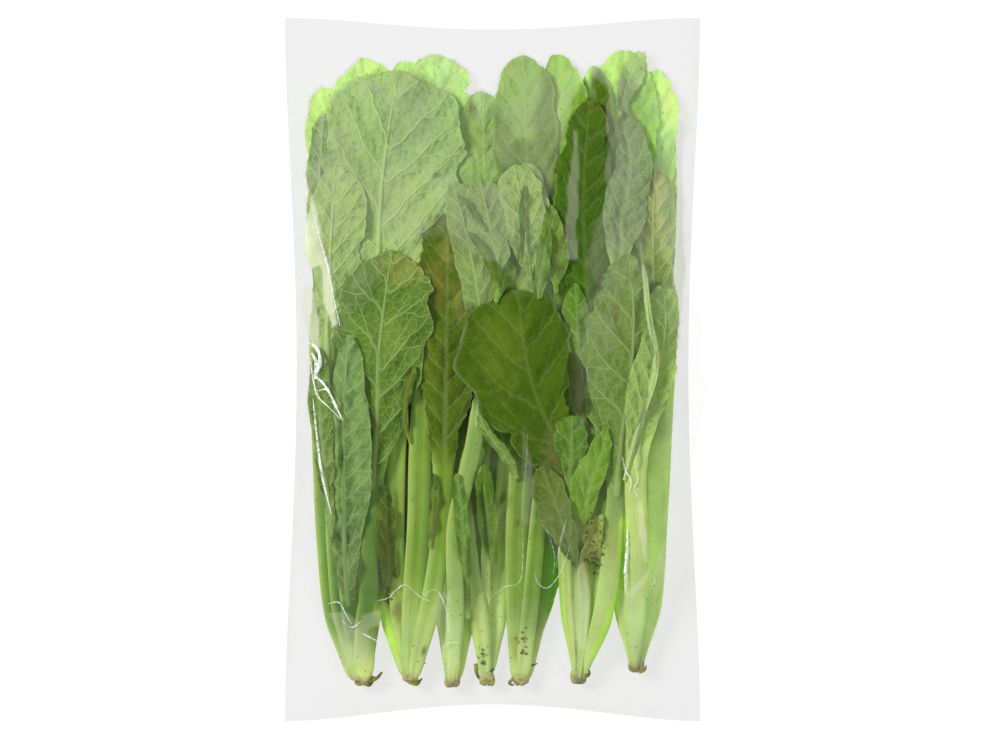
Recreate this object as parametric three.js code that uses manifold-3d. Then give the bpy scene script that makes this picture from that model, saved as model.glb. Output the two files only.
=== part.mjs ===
// A bunch of mustard greens, pressed flat in a clear film bag that lies on a table.
// Seven cut plants lie side by side, roots towards -Y and leaf tips towards +Y.
// Every leaf is one closed loft, laid over the leaves below it, and the leaves of a plant
// are joined to its cut crown. The film is draped over the finished heap.
// Millimetres, +Z up, the origin in the middle of the bag's flat underside.

import * as THREE from 'three';
import { mergeVertices } from 'three/addons/utils/BufferGeometryUtils.js';
import Module from 'manifold-3d';

const wasm = await Module();
wasm.setup();

// Driving dimensions

const BAG_WIDTH = 249;
const BAG_LENGTH = 422;
const BAG_WAIST = 7; // how far each side is drawn in at the middle of the bag
const MOUTH_DIP = 7; // how far the open end is drawn in at its middle
const FOOT_DIP = 10; // and the closed end
const FILM = 0.9; // film thickness, far thicker than life so that it is a sound solid
const FOOT_SEAL = 9; // width of the welded strip at the root end
const SIDE_SEAL = 2.5; // width of the fold at each side
const MOUTH_GAP = 1.2; // distance of the two films at the open end
const SEAL_GAP = 0.3; // and their distance where they run into the fold and the weld
const FILM_CLEARANCE = 0.8; // clear space between the heap and the film over it
const FILM_COLUMNS = 16;
const FILM_ROWS = 24;

const STALK_RINGS = 6;
const BLADE_RINGS = 13;
const ACROSS = [-1, -0.5, 0, 0.5, 1]; // places of a ring's points, as shares of the half width
const BLADE_HALF_THICKNESS = 0.35;
const RIB_DEPTH = 1.4; // the midrib's depth below the blade at its base
const STALK_WIDTH = 12;
const STALK_ABOVE = [0.4, 1.5, 1.0, 1.5, 0.4]; // the section of such a stalk, above its middle
const STALK_BELOW = [0.5, 2.5, 3.3, 2.5, 0.5]; // and below it
const BLADE_ONSET = 7; // the stalk's section has become the blade's after 1/7 of its length
const RING_CROWDING = 1.5; // above 1, the rings stand closer together towards the tip
const TIP_POWER = 14; // the higher, the blunter the leaf tips
const TIP_LEFT = 0.07; // keeps a short straight edge at the very tip
const LOBES = 0.07; // waving of a blade's margin, as a share of its half width
const SMALL_LOBES = 0.042;
const LOBE_TURN = 31; // radians of those waves along a blade
const SMALL_LOBE_TURN = 57;
const LOBE_SHIFT = 1.7; // phase from one leaf to the next, and from one side to the other
const LOBE_SIDE_SHIFT = 2.1;
const RUFFLE = 1.8; // rise and fall of the margin
const RUFFLE_TURN = 17;
const RUFFLE_SHIFT = 2.4;
const RUFFLE_SIDE_SHIFT = 1.9;

const CROWN_RADIUS = 6.5;
const CROWN_LENGTH = 15;
const CROWN_FLATNESS = 0.85;
const CROWN_TAPER = 0.8; // radius at the cut end, as a share of the largest
const CROWN_SIDES = 10;
const CROWN_REACH = 72; // the stalks of one plant may grow together this near its crown
const LEAF_RISE = 0.9; // each leaf of a plant springs this much higher from the crown
const LEAVES_BELOW = 2; // and this many spring from below the crown's middle

const GAP = 0.5; // clear space between two leaves
const CELL = 1.5; // cell of the height map
const SAMPLE = 1.0; // spacing of the points where a sheet is tested against the map
const MAP_HALF_X = 132;
const MAP_HALF_Y = 220;
const SETTLE_ROUNDS = 60;
const SAG = 0.12; // how far a sheet sinks in each round
const SETTLED = 1e-3; // shortfall at which a sheet counts as clear
const BISECTIONS = 30;
const LEAF_COLOURS = [0x6f9a3c, 0x7aa548, 0x86ad55, 0x7ba34a, 0x8ab05c, 0x5f8f2c, 0x84b04c];
const FILM_COLOUR = 0xeeeeee;

// The middle of each plant's crown, from left to right
const CROWNS = [[-78, -182], [-49, -180], [-24, -183], [-3, -182], [17, -182], [51, -181], [86, -174]];

// The leaves from the lowest to the topmost. path is the midrib from the crown to the tip,
// from the Y where the blade begins, and stalk the stalk's width. left and right are the
// blade's half widths, at even steps from its base to its round tip.

const LEAVES = [
  {
    plant: 2, stalk: 10, from: -130, left: [4, 8, 10, 10, 8, 6], right: [4, 8, 11, 11, 8, 6],
    path: [[-50, -180], [-51, -150], [-52, -110], [-51, -60], [-49, -10], [-47, 24]],
  },
  {
    plant: 3, stalk: 10, from: -132, left: [4, 8, 10, 10, 8, 6], right: [4, 7, 9, 9, 8, 6],
    path: [[-25, -183], [-29, -150], [-35, -110], [-36, -60], [-33, -10], [-31, 20]],
  },
  {
    plant: 4, stalk: 9, from: -140, left: [4, 7, 9, 9, 8, 6], right: [4, 7, 9, 10, 8, 6],
    path: [[-3, -182], [-3, -150], [-4, -110], [-2, -60], [0, -10], [0, 14]],
  },
  {
    plant: 5, stalk: 9, from: -148, left: [3, 6, 8, 8, 8, 6], right: [3, 6, 9, 9, 8, 6],
    path: [[18, -182], [27, -154], [37, -122], [40, -90], [41, -50], [41, -12]],
  },
  {
    plant: 1, stalk: 10, from: 40, left: [3, 7, 10, 11, 11, 10], right: [3, 10, 16, 18, 18, 16],
    path: [[-77, -182], [-84, -138], [-89, -48], [-94, 42], [-99, 108], [-102, 168]],
  },
  {
    plant: 2, stalk: 12, from: 20, left: [4, 13, 18, 20, 20, 20], right: [4, 14, 22, 24, 24, 22],
    path: [[-52, -180], [-61, -150], [-66, -102], [-68, -48], [-72, 42], [-77, 114], [-77, 185]],
  },
  {
    plant: 2, stalk: 11, from: 30, left: [3, 10, 14, 16, 16, 14], right: [3, 11, 16, 18, 17, 14],
    path: [[-50, -180], [-55, -150], [-58, -102], [-56, -18], [-53, 72], [-52, 184]],
  },
  {
    plant: 7, stalk: 10, from: 42, left: [3, 8, 12, 13, 13, 11], right: [2, 3, 4, 4, 4, 5],
    path: [[89, -175], [96, -144], [100, -90], [103, -30], [106, 30], [107, 90], [105, 146]],
  },
  {
    plant: 7, stalk: 12, from: 30, left: [4, 13, 19, 21, 21, 20], right: [4, 8, 10, 12, 14, 13],
    path: [[88, -176], [91, -138], [92, -78], [94, -6], [96, 66], [97, 126], [99, 178]],
  },
  {
    plant: 7, stalk: 13, from: 36, left: [5, 13, 18, 20, 20, 20], right: [5, 13, 18, 20, 20, 19],
    path: [[84, -176], [80, -138], [80, -66], [78, 6], [78, 78], [79, 132], [79, 190]],
  },
  {
    plant: 6, stalk: 10, from: 30, left: [3, 9, 13, 14, 13, 10], right: [3, 9, 12, 13, 13, 10],
    path: [[54, -182], [64, -146], [70, -100], [71, -40], [67, 30], [63, 110], [61, 181]],
  },
  {
    plant: 5, stalk: 12, from: 0, left: [4, 11, 15, 15, 14, 12], right: [4, 13, 18, 20, 20, 18],
    path: [[19, -183], [27, -142], [30, -93], [35, -18], [38, 54], [40, 120], [39, 188]],
  },
  {
    plant: 1, stalk: 12, from: 24, left: [3, 5, 6, 7, 8, 8, 8], right: [3, 10, 16, 18, 18, 18, 15],
    path: [[-82, -182], [-94, -150], [-99, -108], [-102, -48], [-104, 36], [-104, 102], [-101, 153]],
  },
  {
    plant: 2, stalk: 14, from: 24, left: [5, 15, 22, 25, 26, 25, 24], right: [5, 15, 22, 25, 26, 25, 23],
    path: [[-49, -181], [-47, -138], [-44, -93], [-43, -48], [-39, 12], [-34, 72], [-33, 132], [-34, 187]],
  },
  {
    plant: 3, stalk: 13, from: 10, left: [5, 13, 18, 19, 19, 18, 17], right: [5, 13, 18, 19, 18, 17, 15],
    path: [[-24, -184], [-25, -150], [-26, -114], [-22, -66], [-15, -6], [-9, 54], [-6, 108], [-6, 165]],
  },
  {
    plant: 3, stalk: 10, from: -20, left: [4, 12, 16, 16, 14, 12], right: [4, 12, 16, 16, 14, 12],
    path: [[-21, -183], [-15, -144], [-12, -102], [-6, -48], [4, 24], [14, 78], [18, 137]],
  },
  {
    plant: 4, stalk: 13, from: -30, left: [4, 12, 17, 19, 18, 15], right: [4, 13, 18, 20, 19, 15],
    path: [[-3, -183], [2, -149], [7, -93], [9, -60], [11, -18], [12, 42], [10, 117]],
  },
  {
    plant: 4, stalk: 12, from: -48, left: [4, 12, 18, 21, 20, 17], right: [4, 12, 18, 20, 18, 15],
    path: [[-4, -183], [-8, -150], [-15, -108], [-19, -60], [-18, -18], [-14, 24], [-12, 84]],
  },
  {
    plant: 5, stalk: 14, from: 24, left: [5, 12, 17, 19, 19, 19, 18], right: [5, 12, 17, 19, 20, 20, 18],
    path: [[17, -184], [15, -138], [15, -93], [20, -18], [23, 42], [21, 102], [18, 187]],
  },
  {
    plant: 3, stalk: 11, from: -72, left: [4, 8, 10, 12, 16, 18, 18], right: [4, 6, 9, 13, 16, 18, 17],
    path: [[-24, -184], [-22, -138], [-22, -87], [-8, -43], [5, 6], [14, 60], [21, 122]],
  },
  {
    plant: 5, stalk: 10, from: 0, left: [3, 9, 14, 14, 11, 7], right: [3, 8, 11, 12, 10, 6],
    path: [[18, -183], [23, -138], [27, -93], [34, -30], [37, 24], [38, 60], [38, 99]],
  },
  {
    plant: 1, stalk: 12, from: 30, left: [6, 26, 34, 36, 38, 39, 40], right: [6, 24, 38, 46, 47, 46, 46],
    path: [[-78, -183], [-72, -138], [-71, -78], [-71, -18], [-69, 42], [-66, 112], [-57, 176]],
  },
  {
    plant: 1, stalk: 10, from: 10, left: [3, 7, 9, 12, 13, 13, 12], right: [3, 10, 16, 19, 20, 20, 16],
    path: [[-81, -182], [-90, -150], [-94, -110], [-96, -48], [-99, 12], [-97, 66], [-94, 121]],
  },
  {
    plant: 6, stalk: 12, from: 10, left: [4, 11, 16, 19, 18, 15, 12], right: [4, 10, 14, 16, 17, 16, 13],
    path: [[52, -182], [59, -140], [63, -90], [62, -30], [57, 42], [54, 102], [58, 160]],
  },
  {
    plant: 6, stalk: 9, from: -60, left: [3, 8, 11, 11, 10, 6], right: [3, 9, 13, 14, 12, 7],
    path: [[50, -182], [45, -142], [44, -100], [49, -40], [51, 12], [49, 51]],
  },
  {
    plant: 7, stalk: 12, from: -20, left: [4, 10, 14, 16, 15, 10], right: [4, 8, 10, 12, 12, 10],
    path: [[88, -175], [94, -144], [98, -99], [98, -42], [97, 18], [96, 66], [97, 119]],
  },
  {
    plant: 7, stalk: 9, from: 60, left: [3, 9, 12, 12, 9, 6, 2.5, 7, 7], right: [3, 9, 13, 14, 13, 10, 3, 8, 11],
    path: [[84, -176], [78, -150], [74, -102], [73, -42], [73, 24], [77, 84], [82, 126], [77, 156], [88, 190]],
  },
  {
    plant: 2, stalk: 12, from: -64, left: [4, 10, 15, 19, 21, 20, 18], right: [4, 10, 16, 20, 22, 22, 18],
    path: [[-47, -181], [-39, -150], [-31, -102], [-29, -48], [-28, 0], [-27, 54], [-27, 92]],
  },
  {
    plant: 3, stalk: 10, from: -30, left: [3, 6, 9, 10, 11, 10], right: [3, 7, 12, 15, 16, 13],
    path: [[-24, -184], [-22, -146], [-22, -92], [-13, -54], [-7, -14], [-6, 24], [-12, 66], [-23, 111]],
  },
  {
    plant: 1, stalk: 13, from: -68, left: [4, 12, 19, 25, 28, 27, 22], right: [4, 14, 22, 28, 29, 28, 22],
    path: [[-77, -183], [-75, -138], [-73, -78], [-69, -30], [-68, 6], [-64, 42], [-60, 70]],
  },
  {
    plant: 6, stalk: 12, from: -72, left: [4, 14, 24, 28, 29, 27, 20], right: [4, 8, 10, 9, 9, 9, 8],
    path: [[54, -182], [63, -158], [69, -126], [72, -93], [77, -42], [83, 3], [84, 42], [81, 67]],
  },
  {
    plant: 7, stalk: 13, from: -55, left: [4, 10, 14, 14, 13, 12], right: [4, 9, 11, 10, 8, 7],
    path: [[85, -176], [85, -138], [86, -102], [85, -66], [89, -30], [98, 0], [103, 24], [103, 50]],
  },
  {
    plant: 1, stalk: 10, from: -138, left: [4, 7, 10, 12, 12, 10, 8], right: [4, 8, 14, 18, 18, 12, 8],
    path: [[-81, -182], [-86, -138], [-89, -78], [-89, -30], [-86, 20]],
  },
  {
    plant: 4, stalk: 6, from: -108, left: [2, 5, 6, 5], right: [2, 4, 5, 4],
    path: [[-4, -182], [-4, -150], [-4, -108], [-4, -78], [-5, -57]],
  },
  {
    plant: 6, stalk: 12, from: -90, left: [3, 11, 23, 32, 40, 40, 37], right: [3, 6, 11, 19, 27, 30, 31],
    path: [[51, -183], [52, -150], [50, -114], [48, -81], [41, -51], [29, -24], [20, 6], [15, 45]],
  },
  {
    plant: 6, stalk: 6, from: -68, left: [2, 6, 10, 10, 9], right: [2, 6, 10, 10, 9],
    path: [[49, -182], [45, -145], [44, -108], [46, -69], [47, -48], [47, -28]],
  },
  {
    plant: 6, stalk: 7, from: -99, left: [3, 8, 11, 11, 8, 4], right: [2, 5, 7, 8, 7, 4],
    path: [[52, -182], [55, -150], [54, -120], [53, -99], [57, -72], [65, -48], [68, -35]],
  },
];

function smooth(t) {
  const x = Math.min(1, Math.max(0, t));
  return x * x * (3 - 2 * x);
}

// A list of values at even steps, read at a share t of its length
function readList(values, t) {
  const at = Math.min(1, Math.max(0, t)) * (values.length - 1);
  const low = Math.min(values.length - 2, Math.floor(at));
  return THREE.MathUtils.lerp(values[low], values[low + 1], smooth(at - low) * 0.5 + (at - low) * 0.5);
}

// The height map: how high the heap already reaches, for each plant apart, so that the
// stalks of one plant can run into each other beside their crown

const MAP_COLUMNS = Math.ceil((2 * MAP_HALF_X) / CELL);
const MAP_ROWS = Math.ceil((2 * MAP_HALF_Y) / CELL);

function newMap() {
  return new Float32Array(MAP_COLUMNS * MAP_ROWS).fill(FILM);
}

const outerMaps = CROWNS.map(newMap);
const innerMaps = CROWNS.map(newMap);

function cellOf(x, y) {
  const column = Math.min(MAP_COLUMNS - 2, Math.max(1, Math.floor((x + MAP_HALF_X) / CELL)));
  const row = Math.min(MAP_ROWS - 2, Math.max(1, Math.floor((y + MAP_HALF_Y) / CELL)));
  return row * MAP_COLUMNS + column;
}

function groundFor(plant) {
  const ground = newMap();
  CROWNS.forEach((crown, index) => {
    const maps = index + 1 === plant ? [outerMaps[index]] : [outerMaps[index], innerMaps[index]];
    for (const map of maps) {
      for (let k = 0; k < ground.length; k += 1) ground[k] = Math.max(ground[k], map[k]);
    }
  });
  return ground;
}

function raiseMap(map, x, y, z) {
  const cell = cellOf(x, y);
  for (const row of [-MAP_COLUMNS, 0, MAP_COLUMNS]) {
    for (const column of [-1, 0, 1]) {
      map[cell + row + column] = Math.max(map[cell + row + column], z);
    }
  }
}

// A sheet is a grid of points with a height z, an underside that lies under it by below,
// and a top that lies over it by above. fixed points keep their height, and rest is the
// ruffle that a sheet keeps while it settles.
function newSheet(rows, columns) {
  const count = rows * columns;
  const make = () => new Float64Array(count);
  return {
    rows, columns, x: make(), y: make(), z: make(), below: make(), above: make(), rest: make(),
    fixed: new Uint8Array(count), rigidRows: 0,
  };
}

// The two triangles of each grid cell, cut the same way on a sheet's top and underside
function sheetTriangles(sheet) {
  const triangles = [];
  for (let row = 0; row < sheet.rows - 1; row += 1) {
    for (let column = 0; column < sheet.columns - 1; column += 1) {
      const a = row * sheet.columns + column;
      const b = a + sheet.columns;
      if (column < (sheet.columns - 1) / 2) {
        triangles.push([a, a + 1, b], [a + 1, b + 1, b]);
      } else {
        triangles.push([a, a + 1, b + 1], [a, b + 1, b]);
      }
    }
  }
  return triangles;
}

// Test points spread over a sheet's triangles
function sheetSamples(sheet) {
  const samples = [];
  for (const [a, b, c] of sheetTriangles(sheet)) {
    const side = Math.max(
      Math.hypot(sheet.x[a] - sheet.x[b], sheet.y[a] - sheet.y[b]),
      Math.hypot(sheet.x[b] - sheet.x[c], sheet.y[b] - sheet.y[c]),
      Math.hypot(sheet.x[c] - sheet.x[a], sheet.y[c] - sheet.y[a]),
    );
    const steps = Math.max(1, Math.ceil(side / SAMPLE));
    for (let i = 0; i <= steps; i += 1) {
      for (let j = 0; j <= steps - i; j += 1) {
        const u = i / steps;
        const v = j / steps;
        const w = 1 - u - v;
        const x = u * sheet.x[a] + v * sheet.x[b] + w * sheet.x[c];
        const y = u * sheet.y[a] + v * sheet.y[b] + w * sheet.y[c];
        samples.push({ a, b, c, u, v, w, x, y, cell: cellOf(x, y) });
      }
    }
  }
  return samples;
}

// Lifts a sheet wherever its underside is nearer to the ground than gap
function clearGround(sheet, samples, ground, gap) {
  const lift = new Float64Array(sheet.z.length);
  let worst = 0;
  for (const { a, b, c, u, v, w, cell } of samples) {
    const under = u * (sheet.z[a] - sheet.below[a]) + v * (sheet.z[b] - sheet.below[b])
      + w * (sheet.z[c] - sheet.below[c]);
    const short = ground[cell] + gap - under;
    if (short <= 0) continue;
    worst = Math.max(worst, short);
    const share = short / (u * u + v * v + w * w);
    lift[a] = Math.max(lift[a], share * u);
    lift[b] = Math.max(lift[b], share * v);
    lift[c] = Math.max(lift[c], share * w);
  }
  for (let k = 0; k < lift.length; k += 1) {
    if (!sheet.fixed[k]) sheet.z[k] += lift[k];
  }
  return worst;
}

// A stalk is stiff across, so all the points of one of its rings rise together
function levelStalk(sheet) {
  for (let row = 0; row < sheet.rigidRows; row += 1) {
    const first = row * sheet.columns;
    const top = Math.max(...sheet.z.subarray(first, first + sheet.columns));
    if (!sheet.fixed[first]) sheet.z.fill(top, first, first + sheet.columns);
  }
}

function relax(sheet) {
  const { rows, columns, rest } = sheet;
  const old = sheet.z.slice();
  for (let row = 0; row < rows; row += 1) {
    for (let column = 0; column < columns; column += 1) {
      const k = row * columns + column;
      if (sheet.fixed[k]) continue;
      let sum = 0;
      let count = 0;
      const neighbours = [
        row > 0 ? k - columns : -1, row < rows - 1 ? k + columns : -1,
        column > 0 ? k - 1 : -1, column < columns - 1 ? k + 1 : -1,
      ];
      for (const n of neighbours) {
        if (n < 0) continue;
        sum += old[n] - rest[n];
        count += 1;
      }
      sheet.z[k] = (old[k] + sum / count + rest[k]) / 2 - SAG;
    }
  }
}

function settle(sheet, ground, gap) {
  const samples = sheetSamples(sheet);
  for (let round = 0; round < SETTLE_ROUNDS; round += 1) {
    relax(sheet);
    clearGround(sheet, samples, ground, gap);
    levelStalk(sheet);
  }
  let worst = Infinity;
  for (let round = 0; round < SETTLE_ROUNDS && worst > SETTLED; round += 1) {
    worst = clearGround(sheet, samples, ground, gap);
    levelStalk(sheet);
  }
  return samples;
}

// Leaves

function leafSheet(leaf, number) {
  const curve = new THREE.CatmullRomCurve3(
    leaf.path.map(([x, y]) => new THREE.Vector3(x, y, 0)), false, 'centripetal',
  );
  const bladeStart = shareAtY(curve, leaf.from);
  const columns = ACROSS.length;
  const sheet = newSheet(STALK_RINGS + BLADE_RINGS, columns);
  sheet.rigidRows = STALK_RINGS;
  for (let row = 0; row < sheet.rows; row += 1) {
    const { share, blade } = ringPlace(row, bladeStart);
    const centre = curve.getPointAt(share);
    const ahead = curve.getTangentAt(share);
    const fullness = smooth(blade * BLADE_ONSET);
    for (let column = 0; column < columns; column += 1) {
      const across = ACROSS[column];
      const side = across < 0 ? leaf.left : leaf.right;
      const bladeHalf = bladeHalfWidth(side, blade, number, across);
      const half = THREE.MathUtils.lerp(leaf.stalk / 2, bladeHalf, fullness);
      const k = row * columns + column;
      sheet.x[k] = centre.x + ahead.y * half * across;
      sheet.y[k] = centre.y - ahead.x * half * across;
      const rib = column === 2 ? RIB_DEPTH * (1 - blade) : 0;
      const girth = leaf.stalk / STALK_WIDTH;
      sheet.above[k] = THREE.MathUtils.lerp(STALK_ABOVE[column] * girth, BLADE_HALF_THICKNESS, fullness);
      sheet.below[k] = THREE.MathUtils.lerp(
        STALK_BELOW[column] * girth, BLADE_HALF_THICKNESS + rib, fullness,
      );
      const phase = number * RUFFLE_SHIFT + (across < 0 ? RUFFLE_SIDE_SHIFT : 0);
      sheet.rest[k] = fullness * RUFFLE * across * across * Math.sin(blade * RUFFLE_TURN + phase);
    }
  }
  return sheet;
}

// The share of a curve's length where it reaches a given Y
function shareAtY(curve, y) {
  let low = 0;
  let high = 1;
  for (let step = 0; step < BISECTIONS; step += 1) {
    const middle = (low + high) / 2;
    if (curve.getPointAt(middle).y < y) low = middle;
    else high = middle;
  }
  return low;
}

// Rings stand closer together towards the tip, where the outline turns
function ringPlace(row, bladeStart) {
  if (row < STALK_RINGS) return { share: (bladeStart * row) / STALK_RINGS, blade: 0 };
  const t = (row - STALK_RINGS) / (BLADE_RINGS - 1);
  const blade = 1 - (1 - t) ** RING_CROWDING;
  return { share: THREE.MathUtils.lerp(bladeStart, 1, blade), blade };
}

// Half width at a share of the blade: its outline, rounded off at the tip, with lobes
function bladeHalfWidth(side, blade, number, across) {
  const roundTip = Math.sqrt(Math.max(TIP_LEFT, 1 - blade ** TIP_POWER));
  const phase = number * LOBE_SHIFT + (across < 0 ? LOBE_SIDE_SHIFT : 0);
  const lobes = LOBES * Math.sin(blade * LOBE_TURN + phase)
    + SMALL_LOBES * Math.sin(blade * SMALL_LOBE_TURN + phase * 3);
  return readList(side, blade) * roundTip * (1 + lobes);
}

// The height at which a sheet is first put down, before it settles
function layOn(sheet, ground) {
  for (let k = 0; k < sheet.z.length; k += 1) {
    sheet.z[k] = ground[cellOf(sheet.x[k], sheet.y[k])] + GAP + sheet.below[k] + sheet.rest[k];
  }
}

const crownHeight = FILM + GAP + CROWN_RADIUS * CROWN_FLATNESS;
const leavesSoFar = CROWNS.map(() => 0);

// Marks a crown's own height on its plant's map
function markCrown([crownX, crownY], plant) {
  for (let x = -CROWN_RADIUS; x <= CROWN_RADIUS; x += SAMPLE) {
    const top = crownHeight + CROWN_FLATNESS * Math.sqrt(CROWN_RADIUS ** 2 - x ** 2);
    for (let y = -CROWN_LENGTH / 2; y <= CROWN_LENGTH / 2; y += SAMPLE) {
      raiseMap(innerMaps[plant], crownX + x, crownY + y, top);
    }
  }
}

function layLeaf(leaf, number) {
  const sheet = leafSheet(leaf, number);
  const plant = leaf.plant - 1;
  const ground = groundFor(leaf.plant);
  layOn(sheet, ground);
  const rise = LEAF_RISE * (leavesSoFar[plant] - LEAVES_BELOW);
  leavesSoFar[plant] += 1;
  for (let column = 0; column < sheet.columns; column += 1) {
    sheet.z[column] = crownHeight + rise;
    sheet.fixed[column] = 1;
  }
  const samples = settle(sheet, ground, GAP);
  const [crownX, crownY] = CROWNS[plant];
  for (const { a, b, c, u, v, w, x, y } of samples) {
    const top = u * (sheet.z[a] + sheet.above[a]) + v * (sheet.z[b] + sheet.above[b])
      + w * (sheet.z[c] + sheet.above[c]);
    const near = Math.hypot(x - crownX, y - crownY) < CROWN_REACH;
    raiseMap(near ? innerMaps[plant] : outerMaps[plant], x, y, top);
  }
  return sheet;
}

// The points round a sheet's edge, in order
function sheetRim({ rows, columns }) {
  const rim = [];
  const last = (rows - 1) * columns;
  for (let column = 0; column < columns; column += 1) rim.push(column);
  for (let row = 1; row < rows; row += 1) rim.push((row + 1) * columns - 1);
  for (let column = columns - 2; column >= 0; column -= 1) rim.push(last + column);
  for (let row = rows - 2; row > 0; row -= 1) rim.push(row * columns);
  return rim;
}

// The closed skin of a sheet, as triangles that point outwards. A flat underside needs only
// a fan from its middle to its rim.
function sheetSkin(sheet, flatUnder = false) {
  const count = sheet.rows * sheet.columns;
  const position = new Float32Array(count * 6);
  for (let k = 0; k < count; k += 1) {
    position.set([sheet.x[k], sheet.y[k], sheet.z[k] + sheet.above[k]], 3 * k);
    position.set([sheet.x[k], sheet.y[k], sheet.z[k] - sheet.below[k]], 3 * (count + k));
  }
  const index = [];
  const middle = Math.floor(count / 2);
  for (const [a, b, c] of sheetTriangles(sheet)) {
    index.push(a, b, c);
    if (!flatUnder) index.push(count + a, count + c, count + b);
  }
  const rim = sheetRim(sheet);
  rim.forEach((a, k) => {
    const b = rim[(k + 1) % rim.length];
    index.push(a, count + a, b, b, count + a, count + b);
    if (flatUnder) index.push(count + b, count + a, count + middle);
  });
  const geometry = new THREE.BufferGeometry();
  geometry.setAttribute('position', new THREE.BufferAttribute(position, 3));
  geometry.setIndex(index);
  return geometry;
}

// Solids that can be joined and cut

function toSolid(geometry) {
  const bare = geometry.clone();
  bare.deleteAttribute('normal');
  bare.deleteAttribute('uv');
  const merged = mergeVertices(bare, 1e-4);
  const mesh = new wasm.Mesh({
    numProp: 3,
    vertProperties: new Float32Array(merged.attributes.position.array),
    triVerts: new Uint32Array(merged.index.array),
  });
  return new wasm.Manifold(mesh);
}

function toGeometry(solid) {
  const mesh = solid.getMesh();
  const geometry = new THREE.BufferGeometry();
  geometry.setAttribute('position', new THREE.BufferAttribute(mesh.vertProperties, 3));
  geometry.setIndex(new THREE.BufferAttribute(mesh.triVerts, 1));
  return geometry;
}

// The cut root end that carries a plant's leaves, with its axis along Y
function crownSolid([x, y]) {
  const shape = new THREE.CylinderGeometry(
    CROWN_RADIUS, CROWN_RADIUS * CROWN_TAPER, CROWN_LENGTH, CROWN_SIDES,
  );
  shape.scale(1, 1, CROWN_FLATNESS);
  shape.translate(x, y, crownHeight);
  return toSolid(shape);
}

// The film bag

// The bag's plan, for shares from -1 to 1 across it and along it
function filmPlace(across, along) {
  const endDip = along > 0 ? MOUTH_DIP : FOOT_DIP;
  return [
    across * (BAG_WIDTH / 2 - BAG_WAIST * (1 - along ** 2) ** 2),
    along * (BAG_LENGTH / 2 - endDip * (1 - across ** 2) ** 2),
  ];
}

// Shares from -1 to 1 that stand closer together towards the ends
function crowdedShare(step, steps) {
  return Math.sin((Math.PI / 2) * ((2 * step) / steps - 1));
}

// The upper film's inner face, drawn down over the heap and held at its rim
function layFilm() {
  const sheet = newSheet(FILM_ROWS + 1, FILM_COLUMNS + 1);
  const ground = groundFor(0);
  for (let row = 0; row <= FILM_ROWS; row += 1) {
    for (let column = 0; column <= FILM_COLUMNS; column += 1) {
      const k = row * sheet.columns + column;
      const across = crowdedShare(column, FILM_COLUMNS);
      [sheet.x[k], sheet.y[k]] = filmPlace(across, crowdedShare(row, FILM_ROWS));
      sheet.z[k] = ground[cellOf(sheet.x[k], sheet.y[k])] + FILM_CLEARANCE;
      if (row === FILM_ROWS) sheet.z[k] = FILM + MOUTH_GAP;
      else if (row === 0 || column === 0 || column === FILM_COLUMNS) sheet.z[k] = FILM + SEAL_GAP;
      else continue;
      sheet.fixed[k] = 1;
    }
  }
  settle(sheet, ground, FILM_CLEARANCE);
  return sheet;
}

// A closed block between a flat underside and the film's height, lifted by film
function filmBlock(sheet, underside, film) {
  const above = sheet.above.slice().fill(film);
  const below = sheet.z.map((z) => z - underside);
  const block = { ...sheet, above, below };
  return toSolid(sheetSkin(block, true));
}

function bagSolid(sheet) {
  const outer = filmBlock(sheet, 0, FILM);
  const hollow = { ...sheet, x: sheet.x.slice(), y: sheet.y.slice() };
  for (let row = 0; row < sheet.rows; row += 1) {
    for (let column = 0; column < sheet.columns; column += 1) {
      const k = row * sheet.columns + column;
      if (column === 0) hollow.x[k] += SIDE_SEAL;
      if (column === FILM_COLUMNS) hollow.x[k] -= SIDE_SEAL;
      if (row === 0) hollow.y[k] += FOOT_SEAL;
      if (row === FILM_ROWS) hollow.y[k] += SIDE_SEAL;
    }
  }
  return outer.subtract(filmBlock(hollow, FILM, 0));
}

// The model

CROWNS.forEach(markCrown);
const sheets = LEAVES.map(layLeaf);
const group = new THREE.Group();

function addPiece(name, solid, color, look) {
  const material = new THREE.MeshStandardMaterial({ color, ...look });
  const mesh = new THREE.Mesh(toGeometry(solid), material);
  mesh.name = name;
  group.add(mesh);
}

CROWNS.forEach((crown, index) => {
  let plant = crownSolid(crown);
  sheets.forEach((sheet, k) => {
    if (LEAVES[k].plant === index + 1) plant = plant.add(toSolid(sheetSkin(sheet)));
  });
  addPiece(`plant_${index + 1}`, plant, LEAF_COLOURS[index], { roughness: 0.55, metalness: 0 });
});

addPiece('bag_film', bagSolid(layFilm()), FILM_COLOUR, {
  roughness: 0.2, metalness: 0, transparent: true, opacity: 0.25,
});

export default group;
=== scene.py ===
"""Looks of a mustard greens bunch in a clear film bag.

Leaves are laid over one another by the rule that shapes the frame's solids. Each is rebuilt
finely on that shape, with toothed margins, raised veins, a grooved stalk and a cut root, and
torn scraps lie on top. The film is drawn over the heap again, with its haze and its creases painted as
glints.
Lengths are in millimetres until a mesh is made. +Y is towards the leaf tips, +Z is up.
"""

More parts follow.
